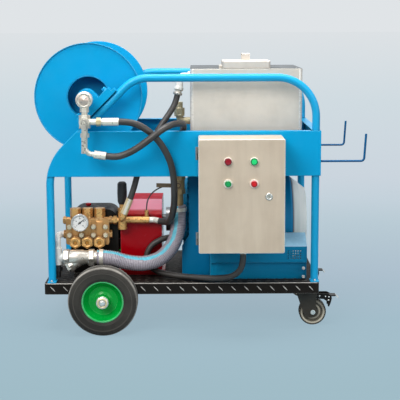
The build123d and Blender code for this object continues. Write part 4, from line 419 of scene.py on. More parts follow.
# Lighter green on the rims' outer lips: painted highlight
RIM_LIP_HIGHLIGHT = paint("green_lip_highlight", srgb(46, 192, 104), srgb(150, 232, 178), 0.2, 0.3, 0.4)
RED = paint("red_paint", srgb(166, 0, 14), srgb(226, 100, 108), 0.2, 0.0, 0.18)
# Lighter red on the gear case's top, with its reflection taken off: painted light
LIT_CROWN = paint("red_crown_lit", srgb(184, 34, 52), srgb(226, 120, 130), 0.4, specular=0.02)
# Painted highlight on the gear case's brow
SHEEN = brow_paint()
COWL = cowl_paint()
MOTOR = paint("motor_blue", srgb(8, 128, 172), srgb(60, 160, 205), 0.4, specular=0.1)
TANK = sheet("tank_steel", srgb(217, 209, 197), srgb(190, 184, 173), 0.42, 0.3,
             smear=(9.0, 9.0, 5.0), amount=0.35, mottle=14.0, specular=0.4)
LID = sheet("lid_steel", srgb(219, 210, 199), srgb(192, 186, 176), 0.4, 0.3)
# Dark top of the tank: painted reflection
DARK_TOP_REFLECTION = sheet("tank_top_dark_reflection", srgb(100, 105, 108), srgb(60, 64, 67), 0.55, 0.0,
            grain=(900.0, 40.0, 40.0), smear=(3.0, 30.0, 40.0), amount=0.8, specular=0.05)
# Light rounded edges: painted highlight
EDGE_HIGHLIGHT = sheet("painted_edge_highlight", srgb(240, 234, 224), srgb(222, 214, 204), 0.3, 0.3)
DOOR = sheet("box_steel", srgb(214, 197, 176), srgb(186, 167, 146), 0.45, 0.25,
             grain=(900.0, 900.0, 20.0), smear=(26.0, 26.0, 3.0), amount=0.45, mottle=7.0,
             specular=0.3, edge_size=0.005)
# Darker steel for the hinge knuckles: painted shade
SHADED_KNUCKLE = metal("knuckle_steel_shade", srgb(128, 128, 126), 0.45)
STEEL = metal("steel", srgb(212, 209, 204), 0.28, 0.03, 0.85)
NICKEL = metal("nickel", srgb(202, 195, 184), 0.3, 0.03, 0.65)
PLATED = metal("plated_brass", srgb(232, 226, 212), 0.3, 0.03, 0.45, 0.35)
SATIN = metal("satin_nickel", srgb(214, 194, 180), 0.4, 0.03, 0.5)
ZINC = metal("yellow_zinc", srgb(224, 204, 160), 0.34, 0.03, 0.5)
BOLT = metal("bolt_zinc", srgb(226, 208, 178), 0.3, 0.03, 0.6)
BRONZE = metal("bronze", srgb(120, 98, 78), 0.4)
CAP_BORE = metal("cap_bore", srgb(214, 150, 70), 0.45)
DARK_STEEL = metal("dark_steel", srgb(150, 150, 150), 0.34)
BRASS = cast("brass_cast", srgb(198, 147, 90), srgb(246, 214, 160), 0.38, 0.5, 300.0, 0.3)
BRASS_TURNED = metal("brass_turned", srgb(220, 168, 102), 0.28, 0.05, 0.6)
PALE_BRASS = cast("brass_pale", srgb(205, 194, 160), srgb(236, 226, 198), 0.4, 0.4, 300.0, 0.2)
OLD_BRASS = cast("brass_dull", srgb(176, 150, 108), srgb(222, 200, 156), 0.42, 0.5, 300.0, 0.3)
DECK = cast("deck_black", srgb(34, 31, 29), srgb(168, 163, 156), 0.6, 0.0, 200.0, 0.4, 0.06, 0.004)
TREAD = cast("deck_tread", srgb(62, 59, 55), srgb(166, 161, 153), 0.55, 0.0, 300.0, 0.2, 0.12)
# Light bars on the deck's lips: painted highlight
LIP_HIGHLIGHT = cast("lip_tread_highlight", srgb(182, 180, 174), srgb(214, 212, 206), 0.4, 0.2, 300.0, 0.2, 0.3)
# Light front edge of the deck: painted highlight
DECK_EDGE_HIGHLIGHT = cast("deck_edge_highlight", srgb(150, 146, 140), srgb(210, 206, 200), 0.4, 0.2, 300.0, 0.2)
FORK = cast("fork_black", srgb(52, 48, 41), srgb(116, 110, 98), 0.45, 0.0, 240.0, 0.4, 0.3)
IRON = cast("black_iron", srgb(24, 22, 19), srgb(78, 75, 69), 0.44, 0.0, 240.0, 0.5, 0.15)
WHITE = moulded("white_plastic", srgb(232, 231, 226), 0.36)
CREAM = moulded("cream_plastic", srgb(248, 240, 230), 0.3)
BLACK = moulded("black_plastic", srgb(34, 34, 36), 0.42)
GREY = moulded("grey_plastic", srgb(150, 152, 152), 0.45)
HOSE = moulded("hose_black", srgb(50, 47, 45), 0.42, 0.3, 0.0, 900.0, srgb(76, 72, 69), 0.5)
CLEAR = moulded("clear_hose", srgb(174, 168, 178), 0.22, 0.05, 0.3, 700.0, srgb(202, 195, 204), 0.5)
# Darker grooves between the hose's ribs: painted shade
GROOVE_SHADE = moulded("clear_hose_groove_shade", srgb(134, 127, 138), 0.3, 0.05, 0.2, 700.0, srgb(168, 158, 166), 0.5)
CYAN = moulded("hose_stripe", srgb(104, 194, 214), 0.26, 0.05, 0.3)
GREEN_BUTTON = moulded("green_button", srgb(16, 160, 84), 0.2, 0.03, 0.5)
RED_BUTTON = moulded("red_button", srgb(214, 20, 28), 0.2, 0.03, 0.5)
LAMP_RED = moulded("lamp_red", srgb(158, 14, 36), 0.14, 0.02, 0.6)
LAMP_GREEN = moulded("lamp_green", srgb(40, 222, 124), 0.14, 0.02, 0.6)
LOCK = metal("lock_zinc", srgb(196, 192, 180), 0.34, 0.03, 0.65)
GREEN_RIM = moulded("green_rim_plastic", srgb(8, 108, 56), 0.3, 0.03)
RED_RIM = moulded("red_rim_plastic", srgb(104, 2, 14), 0.3, 0.03)
DIAL = moulded("dial_white", srgb(238, 238, 234), 0.4, 0.02)
INK = moulded("dial_ink", srgb(24, 24, 26), 0.5, 0.02)
TYRE = tyre_rubber()
CASTER = caster_tyre()
KNOB = knob_grip()

DRESS = {
    BLUE: "near_side_panel far_side_panel end_panel bearing_blocks reel_flanges",
    LIT_TUBE_BLUE: "near_side_frame far_side_frame",
    SHADED_REEL_BLUE: "reel_core",
    SHADED_SKIRT: "motor_skirt",
    SHADED_COLUMN: "tank_supports",
    DECK: "deck_tray deck_bearers pump_stand",
    DARK_STEEL: "motor_rotor crankshaft",
    TANK: "tank_shell",
    LID: "tank_lid",
    DOOR: "control_box box_door",
    BRASS: "pump_head",
    OLD_BRASS: "tank_fittings",
    BRASS_TURNED: "valve_caps unloader_valve",
    WHITE: "plastic_fittings",
    NICKEL: "y_strainer reel_valve_lever",
    PLATED: "hose_ferrules feed_manifold",
    BOLT: "head_bolts",
    STEEL: "wheel_axle near_brake_pedal far_brake_pedal pressure_gauge",
    LOCK: "door_lock",
    BRONZE: "outlet_valve_lever",
    IRON: "pump_crankcase near_caster_fork far_caster_fork",
    RED: "oil_cap gear_case",
    MOTOR: "motor_housing",
    COWL: "fan_cowl",
    GREY: "switchgear",
    TYRE: "near_tyre far_tyre",
    GREEN: "near_rim far_rim",
    CASTER: "near_caster_wheel far_caster_wheel",
    CREAM: "pilot_lamps",
    GREEN_BUTTON: "start_button",
    RED_BUTTON: "stop_button",
    KNOB: "unloader_knob",
    INK: "gauge_needle",
}
for finish, names in DRESS.items():
    for name in names.split():
        slots = nodes[name].data.materials
        slots.clear()
        slots.append(finish)


def tint(name, finish, test):
    """Give another finish to the faces of a node that pass the test."""
    mesh = nodes[name].data
    mesh.materials.append(finish)
    for face in mesh.polygons:
        if test(face.center, face.normal):
            face.material_index = len(mesh.materials) - 1


def beside(point, spots, radius):
    """True within a radius of one of the x, z spots."""
    return any(hypot(point.x - x, point.z - z) < radius for x, z in spots)


# Second finishes on a node, and the limits that part them from the first: shares of a face's normal,
# then heights, radii and places
SQUARE, FLAT, SLOPED, LEANING = 0.985, 0.9, 0.3, 0.2
TANK_TOP, SKIRT_BROW, HOOKS_LOW, TEE_FOOT = 0.9455, 0.3, 0.5, 0.2345
LENS_R, BEZEL_R, BORE_R, LIP_R, PIN_R = 0.0113, 0.018, 0.0085, 0.0695, 0.0095
HINGE_X, PEDAL_X, HOOKS_X, TEE_X = -0.0078, 0.478, RIGHT_POST + 0.016, -0.45
BEZEL_Y, BUTTON_BACK, BORE_Y = DOOR_Y - 0.0003, DOOR_Y + 0.0005, CAP_Y + 0.0015
DIAL_HALF, PIN_OUT = 0.0006, 0.0245
PUMP_FERRULE = (-0.24, -0.2, 0.5)
UNION_LEFT, UNION_RIGHT = -0.364, -0.346
RELIEF_LOW, RELIEF_HIGH = 0.735, 0.83
SHAFT_NEAR, SHAFT_FAR = -0.34, 0.41
# Light rounded edges of the box, door and tank: painted highlight
for name in ("control_box", "box_door", "tank_shell"):
    tint(name, EDGE_HIGHLIGHT, lambda p, n: max(abs(n.x), abs(n.y), abs(n.z)) < SQUARE)
# Darker hinge knuckles: painted shade
for name in ("control_box", "box_door"):
    tint(name, SHADED_KNUCKLE, lambda p, n: p.x < HINGE_X)
# Light front edge of the deck: painted highlight
tint("deck_tray", DECK_EDGE_HIGHLIGHT, lambda p, n: n.y < -LEANING and n.z > LEANING)
tint("pilot_lamps", LAMP_RED, lambda p, n: beside(p, LAMPS[:1], LENS_R))
tint("pilot_lamps", LAMP_GREEN, lambda p, n: beside(p, LAMPS[1:], LENS_R))
tint("box_door", CREAM, lambda p, n: p.y < BEZEL_Y and beside(p, BUTTONS, BEZEL_R))
# Dark top of the tank: painted reflection
tint("tank_shell", DARK_TOP_REFLECTION, lambda p, n: p.z > TANK_TOP and n.z > FLAT)
tint("pressure_gauge", DIAL, lambda p, n: abs(p.y - GAUGE.y) < DIAL_HALF)
right, front, top = PUMP_FERRULE
tint("hose_ferrules", ZINC, lambda p, n: p.x < right and p.y > front and p.z < top)
tint("feed_manifold", ZINC, lambda p, n: UNION_LEFT < p.x < UNION_RIGHT)
tint("tank_fittings", PALE_BRASS, lambda p, n: RELIEF_LOW < p.z < RELIEF_HIGH)
tint("wheel_axle", DARK_STEEL, lambda p, n: SHAFT_NEAR < p.y < SHAFT_FAR)
# Gear case: painted highlight on its brow
tint("gear_case", SHEEN, lambda p, n: n.y < -SLOPED and n.z > SLOPED)
# Lighter red top of the gear case: painted light
tint("gear_case", LIT_CROWN, lambda p, n: n.z > FLAT and p.z > BROW_FOOT)
tint("valve_caps", CAP_BORE, lambda p, n: p.y > BORE_Y and beside(p, CAPS, BORE_R))
# Pale brow of the skirt: painted reflection
tint("motor_skirt", SKIRT_BROW_REFLECTION, lambda p, n: p.z > SKIRT_BROW and n.z > SLOPED)
tint("plastic_fittings", BLACK, lambda p, n: p.z < TEE_FOOT and p.x < TEE_X)
for name in ("start_button", "stop_button"):
    tint(name, BLACK, lambda p, n: n.y > SLOPED or p.y > BUTTON_BACK)
# Darker hooks on the side frames: painted shade
# Lighter lips on the rims: painted highlight
for side, y in CASTER_Y.items():
    tint(side + "_rim", RIM_LIP_HIGHLIGHT, lambda p, n: not beside(p, [(AXLE_X, WHEEL_R)], LIP_R))
    tint(side + "_side_frame", SHADED_HOOK, lambda p, n: p.x > HOOKS_X and p.z > HOOKS_LOW)
    tint(side + "_brake_pedal", IRON, lambda p, n: p.x < PEDAL_X)
    tint(side + "_caster_fork", STEEL,
         lambda p, n: abs(p.y - y) > PIN_OUT and beside(p, [(CASTER_X, CASTER_R)], PIN_R))


class Forge:
    """Collects small forms in one mesh."""

    def __init__(self):
        self.mesh = bmesh.new()

    def corner(self, spot):
        """New corner at a place."""
        return self.mesh.verts.new(spot)

    def face(self, corners, index=0, smooth=False):
        made = self.mesh.faces.new(corners)
        made.material_index = index
        made.smooth = smooth

    def turned(self, profile, at, axis, sides=20, index=0, smooth=True, start=0.0):
        """Turn (along, radius) points about an axis through a point; no radius makes a tip."""
        stand = Vector(axis).to_track_quat("Z", "Y").to_matrix()
        rings = []
        for along, radius in profile:
            ring = []
            for k in range(sides if radius > 1e-6 else 1):
                a = start + 2 * pi * k / sides
                spot = Vector((radius * cos(a), radius * sin(a), along))
                ring.append(self.corner(Vector(at) + stand @ spot))
            rings.append(ring)
        for low, high in zip(rings, rings[1:]):
            for k in range(sides):
                around = [low[k % len(low)], low[(k + 1) % len(low)]]
                around += [high[(k + 1) % len(high)], high[k % len(high)]]
                corners = list(dict.fromkeys(around))
                if len(corners) > 2:
                    self.face(corners, index, smooth)

    def bolt(self, at, axis, flats, height, index=0):
        """Hexagon head on a washer."""
        r = flats / 2 / cos(pi / 6)
        foot = 0.2 * height
        washer = [(0, 1.3 * r), (foot, 1.3 * r), (foot, r)]
        head = [(foot, r), (0.8 * height, r), (height, 0.84 * r), (height, 0)]
        self.turned(washer, at, axis, 20, index)
        self.turned(head, at, axis, 6, index, smooth=False, start=0.3)

    def plate(self, outline, y, thick):
        """Upright plate with an x, z outline, from y to y + thick."""
        sides = []
        for level in (y, y + thick):
            sides.append([self.corner((px, level, pz)) for px, pz in outline])
        for side in sides:
            self.face(side)
        for k in range(len(outline)):
            self.face([sides[0][k - 1], sides[0][k], sides[1][k], sides[1][k - 1]])

    def bead(self, at, axis, radius, thick):
        """Weld bead round a tube."""
        ring = [(thick * sin(a), radius + thick * cos(a)) for a in (k * pi / 4 for k in range(9))]
        self.turned(ring, at, axis, 28)

    def lens(self, at, along, up, length, width, height, index=0):
        """Raised lens-shaped bar of tread plate."""
        at, along, up = Vector(at), Vector(along).normalized(), Vector(up)
        side = up.cross(along) * width / 2
        reach = along * length / 2
        half = 0.5 * reach
        foot = (-reach, side - half, side + half, reach, half - side, -half - side)
        low = [self.corner(at + v) for v in foot]
        top = [self.corner(at + v + up * height) for v in (-0.55 * reach, 0.55 * reach)]
        self.face([low[0], low[1], top[0]], index)
        self.face([low[1], low[2], top[1], top[0]], index)
        self.face([low[2], low[3], top[1]], index)
        self.face([low[3], low[4], top[1]], index)
        self.face([low[4], low[5], top[0], top[1]], index)
        self.face([low[5], low[0], top[0]], index)

    def figures(self, text, at, size):
        """Flat figures that face the near side."""
        font = bpy.data.curves.new("figures", "FONT")
        font.body = text
        font.size = size
        font.align_x = "CENTER"
        font.align_y = "CENTER"
        holder = bpy.data.objects.new("figures", font)
        flat = bpy.data.meshes.new_from_object(holder)
        flat.transform(Matrix.Translation(at) @ Matrix.Rotation(pi / 2, 4, "X"))
        self.mesh.from_mesh(flat)
        bpy.data.objects.remove(holder)
        bpy.data.meshes.remove(flat)

    def done(self, name, body, slot, *finishes):
        """Make the piece and set it on its body."""
        mesh = bpy.data.meshes.new(name)
        bmesh.ops.recalc_face_normals(self.mesh, faces=self.mesh.faces[:])
        self.mesh.to_mesh(mesh)
        self.mesh.free()
        for finish in finishes:
            mesh.materials.append(finish)
        item = bpy.data.objects.new(name, mesh)
        scene.collection.objects.link(item)
        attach(item, body)
        return item


# Tread plate: crossed bars on the deck, slanted bars on its lips
TREAD_PITCH, TREAD_MARGIN = 0.034, 0.03
TREAD_FROM = DECK_LOW + Vector((0.032, 0.028, 0))
TREAD_BAR = (0.026, 0.008, 0.0012)
LIP_PITCH, LIP_DROP, LONG_LIP, SHORT_LIP = 0.047, 0.021, 21, 12
LIP_FROM = DECK_LOW + Vector((0.030, 0.040, 0))
LIP_BAR = (0.026, 0.0033, 0.0010)
treads = Forge()
for i in range(int((DECK_HIGH.x - DECK_LOW.x - TREAD_MARGIN) / TREAD_PITCH)):
    for j in range(int((DECK_HIGH.y - DECK_LOW.y - TREAD_MARGIN) / TREAD_PITCH)):
        spot = (TREAD_FROM.x + i * TREAD_PITCH, TREAD_FROM.y + j * TREAD_PITCH, DECK_TOP)
        treads.lens(spot, (1, 1 if (i + j) % 2 else -1, 0), UP, *TREAD_BAR)
lip_z = DECK_TOP - LIP_DROP
for i in range(LONG_LIP):
    x = LIP_FROM.x + i * LIP_PITCH
    for y, out in ((DECK_LOW.y, -1), (DECK_HIGH.y, 1)):
        treads.lens((x, y, lip_z), (1, 0, -1), (0, out, 0), *LIP_BAR, index=1)
for i in range(SHORT_LIP):
    y = LIP_FROM.y + i * LIP_PITCH
    for x, out in ((DECK_LOW.x, -1), (DECK_HIGH.x, 1)):
        treads.lens((x, y, lip_z), (0, 1, -1), (out, 0, 0), *LIP_BAR, index=1)
# Bars on the lips carry a light finish: painted highlight
treads.done("tread_bars", "chassis", "deck_black", TREAD, LIP_HIGHLIGHT)

# Bolts and weld beads on the frame
BLOCK_STEP, FOOT_STEP, FOOT_PLATE = 0.066, 0.0185, 0.005
RAIL_FOOT, RAIL_RUN, BLOCK_RISE = 0.611, 0.2645, 0.0429
BLOCK_BOLT, FOOT_BOLT, SKIRT_BOLT = (0.015, 0.012), (0.0065, 0.006), (0.008, 0.006)
SKIRT_BOLT_X, SKIRT_BOLTS_Z = 0.378, (0.187, 0.2186)
POST_WELD, HOOK_WELD, HOOK_WELD_OUT = (0.0138, 0.0022), (0.004, 0.0018), 0.0173
block_foot = Vector((LEFT_POST, 0, RAIL_FOOT)) + SLANT * RAIL_RUN + SLANT_UP * BLOCK_RISE
foot_top = DECK_TOP + FOOT_PLATE
bolts = Forge()
welds = Forge()
for y in (NEAR_Y, FAR_Y):
    for step in (-BLOCK_STEP, BLOCK_STEP):
        bolts.bolt(block_foot + SLANT * step + Vector((0, y, 0)), SLANT_UP, *BLOCK_BOLT, index=1)
    for x in (LEFT_POST, RIGHT_POST):
        for step in (-FOOT_STEP, FOOT_STEP):
            bolts.bolt((x, y + step, foot_top), UP, *FOOT_BOLT)
        welds.bead((x, y, foot_top), UP, *POST_WELD)
    welds.bead((RIGHT_POST + HOOK_WELD_OUT, y, HOOK_Z), ALONG, *HOOK_WELD)
for z in SKIRT_BOLTS_Z:
    bolts.bolt((SKIRT_BOLT_X, SKIRT_Y, z), TO_NEAR, *SKIRT_BOLT, index=2)
bolts.done("frame_bolts", "chassis", "steel", STEEL, BLUE, WHITE)
welds.done("frame_welds", "chassis", "blue_paint", BLUE)

# Hub nuts on the axle's ends, flat on the far end, which is the part's widest point; the dark ring inside
# each cup is painted shade
HUB_WASHER = [(0, 0.020), (0, 0.0225), (0.0035, 0.0225), (0.0035, 0.020)]
HUB_LIFT, CUP_HIGH, CUP_LOW = 0.0001, 0.0012, 0.0002
NUT_FLATS, NUT_HIGH = 0.014, 0.004
hub_nuts = Forge()
for rim, end, out, rise in (("near_rim", 0, -1, 1.0), ("far_rim", 1, 1, 0.025)):
    hub = (AXLE_X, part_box(rim)[end].y + out * HUB_LIFT, WHEEL_R)
    tip = (AXLE_X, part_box("wheel_axle")[end].y, WHEEL_R)
    way = (0, out, 0)
    high, low = CUP_HIGH * rise, CUP_LOW * rise
    hub_nuts.turned(HUB_WASHER, hub, way, sides=28)
    hub_nuts.turned([(0, 0.0185), (high, 0.0175), (high, 0.0135), (low, 0.0125)], tip, way, sides=28, index=1)
    hub_nuts.turned([(low, 0.0125), (low, 0.0100)], tip, way, sides=28, index=2)
    hub_nuts.bolt(tip, way, NUT_FLATS, NUT_HIGH * rise)
hub_nuts.done("hub_washers", "chassis", "steel", STEEL, ZINC, DARK_STEEL)

# Side plates of the caster forks, and cheeks and rivets of the brake pedals
FORK_SIDE = ((-0.062, 0.127), (0.014, 0.127), (0.012, 0.090), (0.011, 0.064), (0.016, 0.050), (0.011, 0.036),
             (-0.003, 0.029), (-0.021, 0.032), (-0.033, 0.044), (-0.040, 0.062), (-0.050, 0.092))
FORK_OUT, FORK_THICK = 0.0240, 0.0014
CHEEK = ((0.418, 0.119), (0.470, 0.119), (0.484, 0.112), (0.486, 0.100), (0.482, 0.084), (0.476, 0.069),
         (0.471, 0.071), (0.470, 0.088), (0.455, 0.098), (0.418, 0.101))
CHEEK_OUT, CHEEK_THICK = 0.0174, 0.0018
RIVETS = ((0.440, 0.110), (0.462, 0.108), (0.475, 0.106), (0.474, 0.094))
RIVET = [(0, 0.0028), (0.0006, 0.0024), (0.0010, 0)]
for side, y in CASTER_Y.items():
    fork = Forge()
    cheeks = Forge()
    for out in (-1, 1):
        fork.plate([(CASTER_X + px, pz) for px, pz in FORK_SIDE], y + out * FORK_OUT, out * FORK_THICK)
        cheeks.plate(CHEEK, y + out * CHEEK_OUT, out * CHEEK_THICK)
        for px, pz in RIVETS:
            spot = (px, y + out * (CHEEK_OUT + CHEEK_THICK), pz)
            cheeks.turned(RIVET, spot, (0, out, 0), sides=12, index=1)
    fork.done(side + "_fork_plates", side + "_caster", "black_iron", FORK)
    cheeks.done(side + "_pedal_cheeks", side + "_brake", "black_iron", IRON, STEEL)

# Domed lenses over the lamps
LENS_TOP = [(0.00645, 0.0088), (0.0066, 0.0060), (0.0067, 0)]
LENS_SIDE = [(0, 0.0128), (0.0052, 0.0126), (0.0062, 0.0110), (0.00645, 0.0088)]
LENS_FOOT = DOOR_Y - 0.006
LENS_FINISHES = ((LAMP_RED, RED_RIM), (LAMP_GREEN, GREEN_RIM))
for letter, (x, z), finishes in zip("ab", LAMPS, LENS_FINISHES):
    lens_cap = Forge()
    foot = (x, LENS_FOOT, z)
    lens_cap.turned(LENS_TOP, foot, TO_NEAR, sides=28)
    lens_cap.turned(LENS_SIDE, foot, TO_NEAR, sides=28, index=1)
    lens_cap.done("lamp_lens_" + letter, "door", "lamp", *finishes)

# Darker rims round the faces of the push buttons
BUTTON_RIM = [(0, 0.0095), (0.0001, 0.0092), (0.0001, 0.0078), (0, 0.0075)]
BUTTON_FINISHES = (("start", "green_button", GREEN_RIM), ("stop", "red_button", RED_RIM))
for (x, z), (body, slot, finish) in zip(BUTTONS, BUTTON_FINISHES):
    button_rim = Forge()
    button_rim.turned(BUTTON_RIM, (x, BUTTON_Y, z), TO_NEAR, sides=28)
    button_rim.done(body + "_button_rim", body, slot, finish)

# Bright ring round the face of the lock
LOCK_RING = [(0, 0.0120), (0.0014, 0.0106), (0.0014, 0.0086), (0, 0.0076)]
lock_ring = Forge()
lock_ring.turned(LOCK_RING, (LOCK_X, LOCK_Y, LOCK_Z), TO_NEAR, sides=28)
lock_ring.done("lock_ring", "lock", "chrome", STEEL)

# Cap ring of the swivel head
SWIVEL_RING = [(0, 0.0255), (0.0012, 0.0248), (0.0012, 0.0208), (0, 0.0202)]
SWIVEL_FACE = [(0, 0.0175), (0.0010, 0.0170), (0.0010, 0.0030), (0.0022, 0.0026), (0.0022, 0)]
SCREW = [(0, 0.0024), (0.0003, 0.0024), (0.0003, 0)]
SCREW_R, SCREW_RISE, SCREW_TURN = 0.0105, 0.0010, 0.6
swivel_cap = Forge()
swivel_front = (REEL_X, SWIVEL_Y, REEL_Z)
swivel_cap.turned(SWIVEL_RING, swivel_front, TO_NEAR, sides=36)
swivel_cap.turned(SWIVEL_FACE, swivel_front, TO_NEAR, sides=32, index=1)
for a in (SCREW_TURN, SCREW_TURN + pi):
    spot = (REEL_X + SCREW_R * cos(a), SWIVEL_Y - SCREW_RISE, REEL_Z + SCREW_R * sin(a))
    swivel_cap.turned(SCREW, spot, TO_NEAR, sides=12, index=2)
swivel_cap.done("swivel_cap", "chassis", "chrome", NICKEL, SATIN, DARK_STEEL)

# Rims round the sockets of the lower valve caps
CAP_RIM = [(0, 0.0190), (0.0014, 0.0182), (0.0014, 0.0128), (0, 0.0116)]
CAP_FLOOR = [(-0.005, 0.0079), (-0.005, 0)]
cap_rims = Forge()
for x, z in CAPS:
    cap_rims.turned(CAP_RIM, (x, CAP_Y, z), TO_NEAR, sides=32)
    cap_rims.turned(CAP_FLOOR, (x, CAP_Y, z), TO_NEAR, sides=24, index=1)
cap_rims.done("cap_rims", "chassis", "brass", BRASS_TURNED, CAP_BORE)

# Rounded bosses of the pump cylinders on the head, swelling from its face at each height
BOSS_HALF, BOSS_RISE, BOSS_STEPS = 0.0135, 0.0040, 12
BOSS_SWELL = ((0.326, 0.0), (0.328, 0.6), (0.333, 1.0), (0.383, 1.0), (0.388, 0.6), (0.390, 0.0))
bosses = Forge()
for x, _ in CAPS:
    arcs = []
    for z, swell in BOSS_SWELL:
        arc = []
        for k in range(BOSS_STEPS + 1):
            a = pi * k / BOSS_STEPS
            y = HEAD_Y - BOSS_RISE * swell * sin(a)
            arc.append(bosses.corner((x - BOSS_HALF * cos(a), y, z)))
        arcs.append(arc)
    for low, high in zip(arcs, arcs[1:]):
        for k in range(BOSS_STEPS):
            bosses.face([low[k], low[k + 1], high[k + 1], high[k]], smooth=True)
bosses.done("head_bosses", "chassis", "brass", BRASS)

# Collars, sleeve and leg of the strainer
COLLAR = [(0, 0.024), (0, 0.0310), (0.003, 0.0325), (0.018, 0.0325), (0.021, 0.0310), (0.021, 0.024)]
SLEEVE = [(0.021, 0.0265), (0.024, 0.0280), (0.072, 0.0280), (0.076, 0.0255), (0.0915, 0.0255)]
LEG = [(0.020, 0.021), (0.024, 0.0225), (0.055, 0.0225), (0.057, 0.021)]
LEG_CAP = [(0.047, 0.021), (0.047, 0.0255), (0.061, 0.0265), (0.064, 0.024), (0.064, 0)]
LEG_FROM, LEG_TURN = 0.076, 3.63
COLLARS_AT = (-0.0005, 0.0915)
collars = Forge()
for step in COLLARS_AT:
    collars.turned(COLLAR, STRAINER + ALONG * step, ALONG, sides=6, smooth=False)
collars.turned(SLEEVE, STRAINER, ALONG, sides=36)
leg_root = STRAINER + ALONG * LEG_FROM
leg_way = (cos(LEG_TURN), 0, sin(LEG_TURN))
collars.turned(LEG, leg_root, leg_way, sides=30)
collars.turned(LEG_CAP, leg_root, leg_way, sides=6, smooth=False)
collars.done("strainer_sleeve", "chassis", "chrome", NICKEL)

# Rings on the return elbow
RETURN_RING = [(0, 0.0125), (0, 0.0160), (0.0015, 0.0170), (0.0075, 0.0170), (0.009, 0.0160), (0.009, 0.0125)]
ELBOW = Vector((-0.083, -0.119, 0.850))
ELBOW_WAY = Vector((0.2206, 0.0970, 0.9705))
RETURN_RINGS_AT = (0.001, 0.018)
rings = Forge()
for step in RETURN_RINGS_AT:
    rings.turned(RETURN_RING, ELBOW + ELBOW_WAY * step, ELBOW_WAY, sides=28)
rings.done("return_rings", "chassis", "chrome", NICKEL)

# Gauge scale: forty steps, longer marks at every fifth and tenth, figures at every tenth
SCALE_START, SCALE_SWEEP, SCALE_STEPS = 225, 270, 40
MARK_END, MARK_LONG, MARK_MIDDLE, MARK_SHORT = 0.0255, 0.0200, 0.0215, 0.0232
MARK_THICK, MARK_THIN, MARK_LIFT = 0.0006, 0.0003, 0.0004
FIGURE_R, FIGURE_SIZE = 0.0155, 0.0065
scale = Forge()
dial = GAUGE + TO_NEAR * MARK_LIFT
for k in range(SCALE_STEPS + 1):
    a = radians(SCALE_START - SCALE_SWEEP * k / SCALE_STEPS)
    out = Vector((cos(a), 0, sin(a)))
    tenth = k % 10 == 0
    start = MARK_LONG if tenth else (MARK_MIDDLE if k % 5 == 0 else MARK_SHORT)
    side = Vector((-sin(a), 0, cos(a))) * (MARK_THICK if tenth else MARK_THIN)
    mark = (out * start - side, out * MARK_END - side, out * MARK_END + side, out * start + side)
    scale.face([scale.corner(dial + v) for v in mark])
    if tenth:
        scale.figures(str(k), dial + out * FIGURE_R, FIGURE_SIZE)
scale.done("gauge_scale", "chassis", "black_plastic", INK)

# Hoses and cables
FEED = [
    (-0.2850, -0.3320, 0.7702), (-0.2550, -0.3320, 0.7702), (-0.2190, -0.3260, 0.7602),
    (-0.1830, -0.3150, 0.7372), (-0.1480, -0.3030, 0.7022), (-0.1210, -0.2920, 0.6582),
    (-0.1040, -0.2830, 0.6152), (-0.0960, -0.2750, 0.5702), (-0.0940, -0.2630, 0.5262),
    (-0.0940, -0.2420, 0.4820), (-0.0980, -0.2200, 0.4380), (-0.1100, -0.1960, 0.3940),
    (-0.1241, -0.1650, 0.3822), (-0.1534, -0.1480, 0.3856),
]
RELIEF = [
    (-0.3314, -0.3320, 0.6502), (-0.2998, -0.3320, 0.6456), (-0.2670, -0.3330, 0.6540),
    (-0.2310, -0.3350, 0.6710), (-0.1950, -0.3380, 0.6960), (-0.1620, -0.3370, 0.7210),
    (-0.1310, -0.3240, 0.7440), (-0.1030, -0.2990, 0.7560), (-0.0790, -0.2670, 0.7580),
    (-0.0640, -0.2300, 0.7550), (-0.0600, -0.1950, 0.7460), (-0.0610, -0.1680, 0.7290),
    (-0.0640, -0.1480, 0.7090), (-0.0640, -0.1324, 0.6882),
]
BYPASS = [
    (-0.2578, -0.1880, 0.4756), (-0.2448, -0.1880, 0.5070), (-0.2300, -0.1790, 0.5660),
    (-0.2070, -0.1670, 0.6320), (-0.1720, -0.1540, 0.6960), (-0.1350, -0.1400, 0.7520),
    (-0.1030, -0.1280, 0.7970), (-0.0883, -0.1213, 0.8267), (-0.0830, -0.1190, 0.8500),
]
SUCTION = [
    (-0.0810, -0.1540, 0.4460), (-0.0810, -0.1540, 0.3980), (-0.0840, -0.1610, 0.3450),
    (-0.1040, -0.1750, 0.2930), (-0.1490, -0.1910, 0.2490), (-0.2110, -0.2030, 0.2340),
    (-0.2770, -0.2080, 0.2430), (-0.3310, -0.2090, 0.2620), (-0.3790, -0.2090, 0.2620),
]
CONDUIT = [
    (0.1510, -0.3363, 0.3010), (0.1510, -0.3363, 0.2670), (0.1390, -0.3280, 0.2330),
    (0.1090, -0.3080, 0.2080), (0.0630, -0.2780, 0.1970), (0.0090, -0.2500, 0.1920),
    (-0.0470, -0.2240, 0.1900), (-0.1030, -0.1980, 0.1900), (-0.1550, -0.1700, 0.1950),
    (-0.1910, -0.1520, 0.2130), (-0.2050, -0.1440, 0.2500), (-0.1870, -0.1400, 0.2910),
    (-0.1490, -0.1340, 0.3140), (-0.1133, -0.1212, 0.3200), (-0.0840, -0.1060, 0.3200),
]
CABLE = [
    (-0.2000, -0.1360, 0.4250), (-0.2000, -0.1360, 0.4450), (-0.1930, -0.1300, 0.4690),
    (-0.1770, -0.1160, 0.4900), (-0.1530, -0.0940, 0.5020), (-0.1290, -0.0670, 0.5060),
    (-0.1100, -0.0480, 0.5020), (-0.0912, -0.0347, 0.4915), (-0.0720, -0.0260, 0.4800),
]


